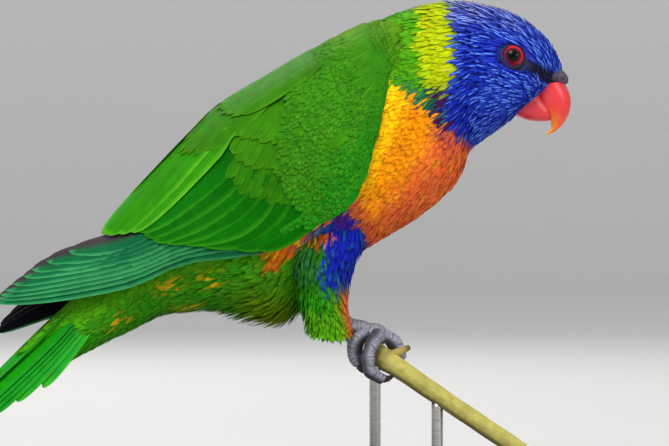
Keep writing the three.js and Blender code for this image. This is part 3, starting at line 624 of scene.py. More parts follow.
def streaked_head(colours, r, a, place, other):
    """Violet blue with pale shafts, lilac on the crown, and a dark line from the eye to the bill."""
    crown = rise(r, 2.0, 4.6) * rise(a, 62, 20)
    dark = rise(away_from_line(place, *LORE), 3.4, 1.2)
    ground = blend(blend(PAINT["head"], PAINT["crown"], crown), PAINT["lore"], dark)
    shaft = blend(PAINT["head_streak"], PAINT["crown_streak"], crown)
    shaft = blend(ground, shaft, (0.1 + 0.9 * rise(other, 0.4, 0.8)) * (1 - dark))
    shaft = blend(shaft, ground, rise(r, 3.8, 4.7) * rise(a, 92, 110) * 0.7)
    return over(colours, (ground, shaft, ground * 0.8), rise(past(HEAD_EDGE, r, a), 0.05, -0.05))


def markings(rib, turn, chance, other):
    """Base, shaft and rim colours of the coat at each place; chance and other are random numbers, 0 to 1."""
    r = rib + 0.16 * (chance - 0.5)
    a = degrees_down(turn) + 7 * (other - 0.5)
    colours = green_parts(r, a, chance, other)
    colours = flank_and_belly(colours, r, a, chance)
    colours = throat_and_breast(colours, r, a, chance, other)
    colours = collar_band(colours, r, a, chance, other)
    return streaked_head(colours, r, a, trunk_at(rib, turn)[..., [0, 2]], other)


middle_of_breast = markings(np.array([7.5]), np.array([0.4]), np.array([0.5]), np.array([0.5]))
print("linear colour of the breast", middle_of_breast[0].round(2))

# %% [markdown]
# A folded wing is one surface. In front it follows the trunk's ribs, a little above them, and arches up
# over the back. Behind the trunk it runs on as a narrowing gutter to the tip. Both come as rows of five
# points from the upper to the lower edge, which a smooth curve joins. The left wing's tip hangs lower.

# %% Wing surface
WING_ON_TRUNK = np.array(  # rib, top and bottom in degrees, and how far the top arches up
    [
        [5.75, 34, 84, 0],
        [6.3, 20, 100, 0],
        [7, 11, 113, 0],
        [8, 7, 118, 0.6],
        [9, 5, 116, 3.0],
        [10, 3, 109, 8.4],
        [11, 2.5, 103, 10.1],
    ]
)
WING_FREE = np.array(  # past the trunk: the top, the middle and the bottom of a row
    [
        [[-64.7, -1.8, 106.2], [-54.0, -19.2, 93.2], [-45.5, -21.5, 83.5]],
        [[-75.5, -4.0, 95.0], [-67.0, -15.0, 84.5], [-61.0, -17.0, 76.5]],
        [[-90.5, -4.6, 86.6], [-83.5, -11.0, 78.8], [-79.0, -12.8, 73.2]],
        [[-103.0, -4.8, 79.6], [-99.0, -8.0, 74.6], [-97.0, -9.0, 70.9]],
        [[-114.0, -5.0, 73.6], [-113.4, -5.8, 71.4], [-113.0, -6.2, 69.4]],
    ]
)
WING_LIFT = 2.3  # mm above the trunk's surface
LEFT_TIP_DROP = 11.5


def bent(first, middle, last, t):
    """The parabola through three values at 0, 1/2 and 1."""
    return first * 2 * (t - 0.5) * (t - 1) + middle * 4 * t * (1 - t) + last * 2 * t * (t - 0.5)


def wing_rows(drop):
    """The wing's rows of five points: on the trunk a lifted arc of a rib, behind it a parabola, dropped."""
    across = np.linspace(0, 1, 5)
    rib, top, bottom, arch = WING_ON_TRUNK.T[..., None]
    lift = WING_LIFT + arch * (1 - across) ** 2
    on_trunk = loft_at(TRUNK_RIBS, rib + 0 * across, (top + (bottom - top) * across) / 360, lift)
    free = bent(*(WING_FREE[:, k, None] for k in range(3)), across[None, :, None])
    free[..., 2] -= drop * (np.arange(1, 6) / 5)[:, None] ** 2.4
    return np.concatenate([on_trunk, free])


def wing_at(rows):
    """The surface through the rows: a smooth curve across each, then one along them."""

    def at(u, v):
        u, v = np.broadcast_arrays(np.asarray(u, float), np.asarray(v, float))
        lines = row_at(np.swapaxes(rows, 0, 1), 4 * v)
        last = len(rows) - 1
        i = np.clip(np.floor(u).astype(int), 0, last - 1)
        places = (np.clip(i + k, 0, last)[..., None, None] for k in (-1, 0, 1, 2))
        p, q, r, s = (np.take_along_axis(lines, place, -2)[..., 0, :] for place in places)
        return hermite(q, r, (r - p) / 2, (s - q) / 2, (u - i)[..., None])

    return at


right_wing_at = wing_at(wing_rows(0.0))
left_wing_at = wing_at(wing_rows(LEFT_TIP_DROP))
print("wing tip", right_wing_at(10.9, 0.85).round(1))

# %% [markdown]
# Each blade needs its root's place on an unwrap of the skin. The skin's own two numbers are its unwrap:
# the rib and the turn for the trunk, and likewise for each thigh, wing and the tail, each in a
# rectangle of its own.

# %% Unwrap of the skin
UNWRAP = {  # lowest u and v of a rectangle, and its size
    "trunk": ((0.02, 0.02), (0.56, 0.96)),
    "thigh_right": ((0.62, 0.02), (0.12, 0.28)),
    "thigh_left": ((0.62, 0.34), (0.12, 0.28)),
    "tail": ((0.62, 0.68), (0.12, 0.28)),
    "wing_right": ((0.78, 0.02), (0.2, 0.46)),
    "wing_left": ((0.78, 0.52), (0.2, 0.46)),
}
REACH = {  # how far the first number goes, and how wide the second one's range is
    "trunk": (20.0, 1.0),
    "thigh": (6.0, 1.0),
    "tail": (9.0, 2.4),
    "wing": (9.0, 1.2),
}


def unwrapped(area, roots):
    """The place in the area's rectangle: the second number goes across it and the first one up it."""
    (low_u, low_v), (wide, high) = UNWRAP[area]
    kind = area.split("_")[0]
    reach_u, reach_v = REACH[kind]
    across = roots[:, 1] / reach_v + (0.5 if kind == "tail" else 0.0)
    if kind in ("trunk", "thigh"):
        across = across % 1
    up = roots[:, 0] / reach_u
    return np.stack([low_u + wide * np.clip(across, 0, 1), low_v + high * np.clip(up, 0, 1)], -1)


print("the right hip on the unwrap", unwrapped("trunk", np.array([[9.0, 0.35]])).round(3))

# %% [markdown]
# Feathers grow in staggered rows. The rows are an equal step apart along the body, and the roots an
# equal step apart along each row, with a little chance in both.


# %% Rows of roots
FINE = 160  # points along a line whose length is measured
rng = np.random.default_rng(7)  # the one source of chance, so that each run grows the same bird


def staggered(at, u, v, step, rng):
    """Roots from u[0] to u[1] and v[0] to v[1], step[0] mm apart along and step[1] mm across."""
    line_u = np.linspace(*u, FINE)
    middle = at(line_u, np.full(FINE, v[0] + 0.3 * (v[1] - v[0])))
    run = np.concatenate([[0], np.cumsum(np.linalg.norm(np.diff(middle, axis=0), axis=1))])
    rows = np.interp(np.arange(0, run[-1], step[0]), run, line_u)
    line_v = np.linspace(*v, FINE)
    roots = []
    for k, row in enumerate(rows):
        ring = at(np.full(FINE, row), line_v)
        arc = np.concatenate([[0], np.cumsum(np.linalg.norm(np.diff(ring, axis=0), axis=1))])
        places = np.arange((k % 2) * step[1] / 2, arc[-1], step[1])
        places = places + step[1] * rng.uniform(-0.28, 0.28, len(places))
        slip = (rows[-1] - rows[0]) / max(len(rows), 1) * rng.uniform(-0.35, 0.35, len(places))
        roots.append(np.stack([row + slip, np.interp(places, arc, line_v)], -1))
    return np.concatenate(roots)


# %% [markdown]
# A feather's barbs leave its shaft at a slant towards the tip. They are some 0.3 mm apart, which is
# finer than a pixel here, so they are drawn 0.6 to 0.7 mm apart, as fine ridges whose colour is a little
# lighter on the crests and darker in the troughs, which is painted light and shade. The vane is keratin
# with pigment in it: matt and soft on the body, a little smoother on a wing.
# The colour of each feather comes from the Tint attribute.

# %% Feather materials
BARB_SLANT = -1.3  # the barbs' way along the shaft for each step away from it
BARB_RIDGE = 0.1


def feather_material(name, barb, shaft, **surface):
    """Ridges where along - 1.3 |across| is a whole number of barb widths, a shaft line of the given half
    width in mm, and blotches of a few mm."""
    material, tree, shader = new_material(name, **surface)
    tint = add(tree, "Attribute", attribute_name="Tint").outputs["Color"]
    streak = add(tree, "Attribute", attribute_name="Streak")
    vane = add(tree, "SeparateXYZ", {"Vector": add(tree, "UVMap", uv_map="Vane").outputs["UV"]})
    aside = add(tree, "Math", {0: vane.outputs["X"]}, operation="ABSOLUTE").outputs[0]
    along = vane.outputs["Y"]
    slant = add(tree, "Math", {0: aside, 1: BARB_SLANT, 2: along}, operation="MULTIPLY_ADD").outputs[0]
    coordinates = add(tree, "TexCoord").outputs["Object"]
    wobble = add(tree, "TexNoise", {"Vector": coordinates, "Scale": 400.0, "Detail": 3.0}).outputs["Fac"]
    phase = add(tree, "Math", {0: slant, 1: 2 * np.pi / barb}, operation="MULTIPLY").outputs[0]
    phase = add(tree, "Math", {0: wobble, 1: 6.0, 2: phase}, operation="MULTIPLY_ADD").outputs[0]
    wave = add(tree, "Math", {0: phase}, operation="SINE").outputs[0]
    line = add(tree, "MapRange", {"Value": aside, "From Min": shaft, "From Max": 0.4 * shaft}).outputs[0]
    line = add(tree, "Math", {0: line, 1: streak.outputs["Alpha"]}, operation="MULTIPLY").outputs[0]
    mixed = add(tree, "Mix", {0: line, 6: tint, 7: streak.outputs["Color"]}, data_type="RGBA").outputs[2]
    # The colour is lighter on the crests of the barb ridges and darker in their troughs: painted light and
    # shade.
    shade = add(tree, "MapRange", {"Value": wave, "From Min": -1.0, "To Min": 0.86, "To Max": 1.08})
    blotch = add(tree, "TexNoise", {"Vector": coordinates, "Scale": 180.0, "Detail": 2.0}).outputs["Fac"]
    tone = add(tree, "MapRange", {"Value": blotch, **MIDDLE_OF_NOISE, "To Min": 0.85, "To Max": 1.1})
    shade = add(tree, "Math", {0: shade.outputs[0], 1: tone.outputs[0]}, operation="MULTIPLY").outputs[0]
    colour = add(tree, "VectorMath", {0: mixed, "Scale": shade}, operation="SCALE").outputs["Vector"]
    tree.links.new(colour, shader.inputs["Base Color"])
    bump = add(tree, "Bump", {"Height": wave, "Strength": 0.4, "Distance": BARB_RIDGE * MM})
    tree.links.new(bump.outputs["Normal"], shader.inputs["Normal"])
    print(name, len(tree.nodes), "nodes")
    return material


down_feather = feather_material("contour_feather_keratin", 0.6, 0.3, Roughness=0.8, Specular_IOR_Level=0.12)
flight_feather = feather_material(
    "flight_feather_keratin", 0.7, 0.22, Roughness=0.55, Specular_IOR_Level=0.04
)

# %% [markdown]
# The skin is one closed surface, so that no seam shows where the trunk, the folded arms and the thighs
# meet. Their three simple forms are put in one mesh and a voxel remesh of 0.9 mm fuses them. It shows
# only as a dark ground between the feathers. It is coloured like them, from the nearest point of the form
# that it came from, and darkened as painted shade.

# %% The three forms of the skin
HIP = 14.5
LEG_RIB = 4.9  # the thigh's rib from which its feathers hang straight down
# The skin between the feathers keeps this share of the coat's brightness: painted shade.
SKIN_PAINTED_SHADE = 0.75  # how much of the coat's brightness the skin has
SKIN_VOXEL = 0.9
WING_START = 1.5  # where along the wing its lower edge begins
ARM_LONG, ARM_ROWS, ARM_COLUMNS = 4.0, 40, 24
THIGH_RIBS = np.array(
    [  # rear x, rear z, front x, front z, half width
        [-7.0, 104.0, 17.0, 99.0, 3.5],
        [-9.5, 95.0, 17.5, 90.5, 7.5],
        [-9.0, 85.0, 13.7, 81.5, 10.0],
        [-6.6, 75.0, 11.8, 73.5, 9.6],
        [-4.2, 66.0, 11.4, 67.2, 8.2],
        [-2.4, 59.6, 12.6, 61.6, 6.4],
        [1.6, 55.0, 11.6, 57.2, 3.2],
    ]
)
MIRROR = np.array([1.0, -1.0, 1.0])


def plain_thigh_at(rib, turn):
    """The right thigh's surface as its ribs give it, closed at the foot."""
    return loft_at(THIGH_RIBS, rib, turn) - [0, HIP, 0]


def thigh_at(rib, turn):
    """The right thigh's outer surface: turn 0 is its rear, 1/4 its outer side and 1/2 its front. Past
    LEG_RIB, where it would close round the leg, it hangs straight down, as the feathers' tips do."""
    angle = 2 * np.pi * np.asarray(turn)
    hang = np.clip(np.asarray(rib) - LEG_RIB, 0, None)
    hang = hang * (0.45 - 0.15 * np.cos(angle) + 0.5 * np.abs(np.sin(angle)))
    return plain_thigh_at(np.minimum(rib, LEG_RIB), turn) + hang[..., None] * [0.9, 0, -5.4]


def coat_depth(rib):
    """How deep the skin lies: 0.5 mm on the face, 1.1 mm at the collar and 1.5 mm on the body."""
    return np.interp(rib, [0, 2, 5, 7.5, 14, 17], [0.5, 0.7, 1.1, 1.4, 1.6, 1.0])


def thigh_depth(rib):
    """The same for the thighs: 1.4 mm all over."""
    return 1.4 + 0 * rib


def grid_shape(at, us, around, sink):
    """A closed tube on a surface: rings at us, sunk by sink(u), with a many-sided face at each end."""
    u, v = np.meshgrid(us, np.arange(around) / around, indexing="ij")
    points = at(u, v) - normal_at(at, u, v) * sink(u)[..., None]
    return {"points": points.reshape(-1, 3), "faces": tube_faces(len(us), around)}, u.ravel(), v.ravel()


def thigh_paint(rib, turn, chance, other):
    """The thigh: green, royal blue on its upper front, an orange-red line down its front below that, and a
    lime fringe at the bottom. Higher up, away from the blue and the red, it is darker: painted shade under
    the body."""
    x, _, z = np.moveaxis(thigh_at(rib, turn), -1, 0)
    base = blend(PAINT["deep_green"], PAINT["green"], 0.2 * other)
    teal = 0.6 * rise(z, 72.0, 78.0) * rise(z, 90.0, 84.0) * rise(chance, 0.3, 0.6)
    base = blend(base, PAINT["teal"], teal)
    blue = blend(PAINT["belly"], PAINT["belly_teal"], 0.45 * (other > 0.8))
    front = rise(x + 4 * (chance - 0.5), 1.0, 5.0) * rise(z + 5 * (other - 0.5), 70.0, 75.0)
    base = blend(base, blue, front)
    warm = 0.85 * rise(z + 3 * (other - 0.5), 86.0, 90.0) * rise(x, 7.0, 3.0)
    base = blend(base, flecks(chance, 0.6), warm)
    stripe = np.exp(-(((turn - 0.46) / 0.075) ** 2)) * rise(z, 74.0, 70.0)
    base = blend(base, PAINT["red"], 0.9 * stripe)
    fringe = rise(rib + 0.8 * (chance - 0.5), 4.0, 4.8)
    # Darker higher up on the thigh, except on the blue and the red: painted shade under the body.
    base = base * (0.6 + 0.5 * np.maximum(rise(z, 76.0, 68.0), np.maximum(stripe, front)))[..., None]
    green = (1 - stripe) * (1 - front)
    shaft = blend(base, PAINT["lime"], (0.1 + 0.4 * fringe) * green)
    return base, shaft, blend(base, PAINT["lime"], (0.04 + 0.4 * fringe) * green)


def wing_edge(u):
    """The wing's lower edge near its front: from the shoulder it curves down to the wing's full depth."""
    behind = u - WING_START
    return np.minimum(0.99, 0.52 + 0.33 * behind - 0.053 * behind**2)


def arm_shape(at):
    """A closed pad under the wing, from its upper edge to wing_edge, that reaches into the trunk."""
    s, around = np.linspace(0, 1, ARM_ROWS), 2 * ARM_COLUMNS
    u = WING_START + ARM_LONG * s[:, None] + np.zeros(around)
    share = np.concatenate([np.linspace(0, 1, ARM_COLUMNS), np.linspace(1, 0, ARM_COLUMNS)])
    v = 0.03 + (wing_edge(u) - 0.03) * share
    height = np.repeat([-0.2, -7.0], ARM_COLUMNS) - 0.9 * rise(s, 0.2, 0.0)[:, None]
    points = at(u, v) + normal_at(at, u, v) * height[..., None]
    return {"points": points.reshape(-1, 3), "faces": tube_faces(ARM_ROWS, around)}


def skin_tint(paint, u, v):
    """The base colour of the coat's paint without chance, darkened as painted shade between the feathers."""
    even = np.full(len(u), 0.5)
    return paint(u, v, even, even)[0] * SKIN_PAINTED_SHADE


trunk_form, trunk_u, trunk_v = grid_shape(trunk_at, np.linspace(0.02, 16.2, 150), 96, coat_depth)
thigh_form, thigh_u, thigh_v = grid_shape(plain_thigh_at, np.linspace(0, 5.2, 60), 48, thigh_depth)
arm_right, arm_left = arm_shape(right_wing_at), arm_shape(left_wing_at)
trunk_form["tint"] = skin_tint(markings, trunk_u, trunk_v)
thigh_form["tint"] = skin_tint(thigh_paint, thigh_u, thigh_v)
# The pads under the wings are deep green darkened to 0.6: painted shade under the wings.
for arm in (arm_right, arm_left):
    arm["tint"] = np.tile(PAINT["deep_green"] * 0.6, (len(arm["points"]), 1))


def mirrored(shape):
    """The same shape on the other side of the plane y = 0."""
    return {**shape, "points": shape["points"] * MIRROR}


forms = [trunk_form, thigh_form, mirrored(thigh_form), arm_right, mirrored(arm_left)]
print("forms of the skin", [len(form["points"]) for form in forms])

# %% [markdown]
# The remesh needs forms that look outwards, and it drops their colours. Each new point gets the colour of
# the nearest old one.


# %% One skin
FLESH = ("head", "neck", "torso", "thigh_right", "thigh_left")


def outwards(shape):
    """The same shape with its faces turned to look outwards."""
    if signed_volume(shape["points"] - shape["points"].mean(0), shape["faces"]) < 0:
        return {**shape, "faces": [face[:, ::-1] for face in shape["faces"]]}
    return shape


def nearest(points, samples, values, batch=2000):
    """For each point the value of the nearest sample, by the square of the distance."""
    square = (samples**2).sum(1)
    starts = range(0, len(points), batch)
    index = [np.argmin(square - 2 * points[i : i + batch] @ samples.T, 1) for i in starts]
    return values[np.concatenate(index)]


form = joined([outwards(shape) for shape in forms])
rough = mesh_object("skin_form", {"points": form["points"], "faces": form["faces"]}, down_feather)
remesh = rough.modifiers.new("fuse", "REMESH")
remesh.mode = "VOXEL"
remesh.voxel_size = SKIN_VOXEL * MM
remesh.use_smooth_shade = True
fused = bpy.data.meshes.new_from_object(rough.evaluated_get(bpy.context.evaluated_depsgraph_get()))
bpy.data.objects.remove(rough)
places = np.empty(3 * len(fused.vertices), np.float32)
fused.vertices.foreach_get("co", places)
places = places.reshape(-1, 3) / MM
corners = np.empty(len(fused.loops), np.int32)
fused.loops.foreach_get("vertex_index", corners)
sizes = np.empty(len(fused.polygons), np.int32)
fused.polygons.foreach_get("loop_total", sizes)
print("fused skin", len(places), "points, sides", set(sizes.tolist()))
thin = np.arange(0, len(form["points"]), 2)  # every second point is near enough
skin_shape = {
    "points": places,
    "faces": [corners[np.repeat(sizes, sizes) == n].reshape(-1, n) for n in set(sizes.tolist())],
    "tint": nearest(places, form["points"][thin], form["tint"][thin]),
}
bare_skin, tree, shader = new_material("feathered_skin", Roughness=0.85)
tree.links.new(add(tree, "Attribute", attribute_name="Tint").outputs["Color"], shader.inputs["Base Color"])
piece("skin", skin_shape, bare_skin, FLESH)

# %% [markdown]
# The coat is laid from the face backwards. Near the bill the feathers are hair-like and 2 mm long, on
# the cheeks 5 mm, on the collar and back 8 to 13 mm. They are left out where a wing covers them and in
# a ring round each eye, which is bare.

# %% Coat of the trunk
EYE = {"rib": 2.89, "turn": 66 / 360, "radius": 4.1, "sunk": 3.0}
eye_middle = loft_at(TRUNK_RIBS, EYE["rib"], EYE["turn"], -EYE["sunk"])
BARE_RING = (4.1, 4.7, 4.9)  # mm that a blade's root, middle and tip keep from the eye's middle
NEAR_EYE = 7.0
# Rib numbers, and the degrees there at which a wing begins to cover the coat and stops, and where the
# wing's front edge runs.
WING_COVER = ([5.9, 6.3, 7, 8, 9, 10, 11, 12, 13, 13.6], [26, 14, 10, 8, 8, 8, 8, 14, 26, 60])
WING_COVER_END = ([5.9, 6.3, 7, 8, 9, 10, 11, 12, 13, 13.6], [66, 72, 84, 108, 112, 104, 97, 88, 74, 62])
WING_FRONT = (
    [6.5, 6.65, 6.9, 7.2, 7.6, 8.15, 8.6, 9.05, 9.6, 10.1, 10.8],
    [60, 63, 75, 86, 95, 107, 114, 116, 116, 110, 99],
)


def open_places(roots):
    """True where no wing covers the coat."""
    rib, degrees = roots[:, 0], degrees_down(roots[:, 1])
    wing = (rib > WING_COVER[0][0]) & (rib < WING_COVER[0][-1])
    wing &= (degrees > np.interp(rib, *WING_COVER) + 4) & (degrees < np.interp(rib, *WING_COVER_END) - 5)
    return ~wing


def from_eye(roots):
    """The distance from the eye's middle as seen from the side."""
    return np.linalg.norm(trunk_at(*roots.T)[:, [0, 2]] - eye_middle[[0, 2]], axis=1)


def clear_of_eye(roots, tips):
    """True where neither end nor the middle of a blade reaches the ring of bare skin round the eye."""
    away = [from_eye(roots + (tips - roots) * share) for share in (0, 0.5, 1)]
    return (away[0] > BARE_RING[0]) & (away[1] > BARE_RING[1]) & (away[2] > BARE_RING[2])


def trunk_coat(name, slot, u, v, step, length, width, lift, **form):
    """A coat over part of the trunk. length, width and lift are functions of the rib and the degrees."""
    keep, over_wing = form.pop("keep", None), form.pop("over_wing", False)
    look = {key: form.pop(key) for key in ("rim_side", "rim_tip", "deep", "streak") if key in form}
    roots = staggered(trunk_at, u, v, step, rng)
    roots = roots[open_places(roots)]
    if keep is not None:
        roots = roots[keep(roots[:, 0], degrees_down(roots[:, 1]))]
    rib, degrees = roots[:, 0], degrees_down(roots[:, 1])
    count = len(roots)
    chance, other = rng.uniform(size=count), rng.uniform(size=count)
    long = length(rib, degrees) * rng.uniform(0.82, 1.15, count)
    tip = laid(trunk_at, roots, long, rng.normal(0, form.pop("drift", 0.006), count))
    clear = clear_of_eye(roots, tip)
    if not over_wing:
        behind = np.interp(tip[:, 0], *WING_FRONT, left=0, right=0) - 3
        clear &= (degrees_down(tip[:, 1]) > behind) | (degrees_down(tip[:, 1]) < 22)
    roots, tip, rib, degrees, chance, other = (
        value[clear] for value in (roots, tip, rib, degrees, chance, other)
    )
    count = len(roots)
    low = np.where(from_eye(roots) < NEAR_EYE, -0.45, -coat_depth(rib) - 0.2)
    high = lift(rib, degrees) + 0.3 * chance
    shape = blades(
        trunk_at, roots, tip, width(rib, degrees) * rng.uniform(0.85, 1.15, count), (low, high),
        unwrapped("trunk", roots), rng, **form,
    )
    base, shaft, rim_colour = markings(0.4 * rib + 0.6 * tip[:, 0], roots[:, 1], chance, other)
    light = rng.uniform(0.92, 1.08, count)[:, None]
    shape = painted(shape, base * light, shaft * light, rim_colour * light, **look)
    return piece(name, shape, down_feather)


def constant(value):
    """A function of the rib and the degrees that gives one value everywhere."""
    return lambda rib, degrees: value + 0 * rib


trunk_coat(
    "coat_face", "blue_feathers", (0.03, 3.2), (0, 1), (1.1, 0.85),
    lambda rib, degrees: np.interp(rib, [0, 1, 2, 3.2], [2.2, 3.2, 4.6, 6.0]),
    lambda rib, degrees: np.interp(rib, [0, 1, 3.2], [0.6, 0.8, 1.15]),
    lambda rib, degrees: np.interp(rib, [0, 3.2], [0.0, 0.25]),
    rows=3, columns=2, thick=0.2, camber=4.0, pointed=0.8, rim_side=0.6, rim_tip=0.85, deep=0.2,
)
trunk_coat(
    "coat_nape", "blue_feathers", (3.2, 5.0), (0, 1), (1.6, 1.15),
    lambda rib, degrees: np.interp(rib, [3.2, 5], [6.0, 7.5]),
    constant(1.35), constant(0.25),
    rows=3, columns=2, thick=0.2, camber=5.0, pointed=0.8, rim_side=0.6, rim_tip=0.85, deep=0.2,
)
trunk_coat(
    "coat_collar", "lime_feathers", (4.6, 6.2), (0, 1), (1.7, 1.3),
    constant(9.0), constant(2.0), constant(0.1),
    rows=4, columns=2, thick=0.12, camber=10.0, pointed=0.85, deep=0.0, over_wing=True,
    keep=lambda rib, degrees: degrees < 112,
)
trunk_coat(
    "coat_mantle", "lime_feathers", (5.5, 9.8), (-0.22, 0.22), (1.7, 1.3),
    constant(10.0), constant(2.0),
    lambda rib, degrees: 0.1 + 1.4 * rise(rib, 5.9, 6.6) * rise(degrees, 12, 40),
    rows=4, columns=2, thick=0.12, camber=10.0, pointed=0.85, deep=0.0, over_wing=True,
)
trunk_coat(
    "coat_back", "green_feathers", (8.8, 14.2), (-0.26, 0.26), (2.6, 2.0),
    constant(12.0), constant(3.0), constant(0.3), rows=4, columns=2, thick=0.15, camber=9.0, deep=0.15,
)
trunk_coat(
    "coat_breast", "orange_feathers", (4.4, 8.5), (0.14, 0.86), (1.4, 1.2),
    lambda rib, degrees: np.interp(rib, [4.4, 6], [7.0, 12.0]),
    lambda rib, degrees: np.interp(rib, [4.4, 6], [2.0, 2.6]),
    constant(-0.1), rows=5, columns=2, thick=0.1, camber=16.0, pointed=0.95, ragged=0.06,
    rim_side=0.9, rim_tip=0.85, deep=0.0,
    keep=lambda rib, degrees: (degrees > 50) & (rib > np.interp(degrees, *BREAST_EDGE) - 0.5),
)
trunk_coat(
    "coat_belly", "blue_feathers", (8.1, 14.3), (0.2, 0.8), (2.2, 1.7),
    lambda rib, degrees: 9 + 4 * rise(rib, 9.2, 10.6) * rise(degrees, 120, 150),
    constant(2.2),
    lambda rib, degrees: 0.1 + 4.2 * rise(rib, 9.4, 10.5) * rise(rib, 12, 11) * rise(degrees, 125, 160),
    rows=4, columns=2, thick=0.18, camber=6.0, pointed=0.85, deep=0.2,
)

# %% [markdown]
# The thighs wear short, hair-like feathers that fall to the feet and end in a pale green fringe.


# %% Coat of the thighs
def thigh_coat(side):
    """Blades in rows down a thigh; the left thigh is the mirror image of the right one."""
    roots = staggered(thigh_at, (0.3, 5.0), (0, 1), (1.6, 1.25), rng)
    count = len(roots)
    chance, other = rng.uniform(size=count), rng.uniform(size=count)
    rear = rise(np.cos(2 * np.pi * roots[:, 1]), 0.2, 1.0)
    long = np.interp(roots[:, 0], [0, 4, 5.0], [8.5, 8.0, 6.5]) * rng.uniform(0.75, 1.25, count) - 1.5 * rear
    tip = laid(thigh_at, roots, long, rng.normal(0, 0.012, count))
    shape = blades(
        thigh_at, roots, tip, 1.5 * rng.uniform(0.8, 1.2, count), (-1.6, 0.1 + 0.4 * chance + 0.6 * rear),
        unwrapped("thigh_" + side, roots), rng, rows=4, columns=2, thick=0.18, camber=5.0, pointed=0.9,
    )
    light = rng.uniform(0.82, 1.15, count)[:, None]
    base, shaft, rim = (colour * light for colour in thigh_paint(tip[:, 0], roots[:, 1], chance, other))
    return painted(shape, base, shaft, rim, rim_side=0.6)


piece("coat_thigh_right", thigh_coat("right"), down_feather)
piece("coat_thigh_left", mirrored(thigh_coat("left")), down_feather)

# %% [markdown]
# A folded wing is tiers of stiff overlapping feathers. From below: the primaries, whose tips cross over
# the tail, the secondaries, the tertials, then the coverts in shorter and shorter rows, each of which
# hides the roots of the row under it. A tier is laid by the places of its first, middle and last
# feather, and every feather's lower edge lies over the next one.

# %% Wing feathers
WING_PAINT = palette(
    {
        "primary": "#0b6238",
        "primary_edge": "#3f9c5c",
        "inner_web": "#40343a",
        "secondary": "#076402",
        "secondary_edge": "#2c860e",
        "tertial": "#2a8404",
        "tertial_edge": "#56a81c",
        "greater": "#2a7204",
        "greater_edge": "#3c860e",
        "median": "#367c06",
        "median_edge": "#4a8e0c",
        "lesser": "#2c7604",
        "marginal": "#0a7c06",
        "mantle": "#5c8a0a",
        "mantle_edge": "#86c020",
        "under": "#0a0a12",
    }
)


def tier(at, area, count, root, tip, width, lift, base, edge, **form):
    """A row of count feathers through three roots and three tips, with chance in place, size and tone."""
    s = np.linspace(0, 1, count)[:, None]
    chance = rng.uniform(-1, 1, (count, 2))
    roots = bent(*(np.array(place, float) for place in root), s)
    tips = bent(*(np.array(place, float) for place in tip), s) + chance * [0.06, 0.006]
    width = (width[0] + (width[1] - width[0]) * s[:, 0]) * (1 + 0.05 * chance[:, 0])
    edges = {key: form.pop(key) for key in ("rim_side", "rim_tip", "deep") if key in form}
    shaft = form.pop("shaft", 0.35)
    web = form.pop("web", None)
    below = WING_PAINT[form.pop("below", "under")]
    shape = blades(at, roots, tips, width, lift, unwrapped(area, roots), rng, **form)
    tone = (1 + 0.1 * chance[:, 1])[:, None]
    base = WING_PAINT[base] * tone
    edge = WING_PAINT[edge] * tone
    side, face = shape["side"], shape["face"]
    shape = painted(shape, base, base * (1 - shaft), edge, below + 0 * tone,
                    **{"rim_side": 0.8, "rim_tip": 0.93, **edges})
    if web is not None:
        rows = len(shape["points"]) // count // side.shape[-1]
        inner = np.broadcast_to((rise(side, *web) * (face >= 0))[..., None], (count, rows, side.shape[-1], 1))
        tint = shape["tint"].reshape(count, rows, -1, 3)
        shape["tint"] = (tint + (WING_PAINT["inner_web"] - tint) * inner).reshape(-1, 3)
    return shape


FLIGHT = {"rows": 14, "columns": 6, "thick": 0.4, "tilt": 0.6, "camber": 24.0}
COVERT = {
    "rows": 7, "columns": 6, "thick": 0.2, "tilt": 0.25, "camber": 14.0, "pointed": 0.55, "ragged": 0.02,
}
COVERT_LOOK = {"rim_side": 0.86, "rim_tip": 0.93, "deep": 0.1}


def flights(at, area):
    """Primaries, secondaries and tertials."""
    return joined([
        tier(at, area, 9, [[6.6, 0.4], [6.2, 0.72], [5.7, 0.93]], [[8.75, 0.06], [10.3, 0.18], [10.9, 0.85]],
             (11.5, 9.0), (-0.6, -0.3), "primary", "primary_edge", **FLIGHT, bow=np.linspace(0.02, -0.12, 9),
             pointed=0.62, rim_side=0.9, web=(0.3, -0.2)),
        tier(at, area, 8, [[5.2, 0.4], [4.8, 0.64], [4.0, 0.87]], [[7.25, 0.3], [6.9, 0.66], [5.8, 0.9]],
             (13.5, 11.0), (0.0, 0.5), "secondary", "secondary_edge", **FLIGHT, bow=0.05, pointed=0.5),
        tier(at, area, 4, [[4.6, 0.05], [4.8, 0.15], [4.9, 0.26]], [[7.95, 0.1], [7.8, 0.17], [7.4, 0.27]],
             (14.5, 14.5), (0.4, 0.9), "tertial", "tertial_edge", **FLIGHT, pointed=0.6, below="greater"),
    ])


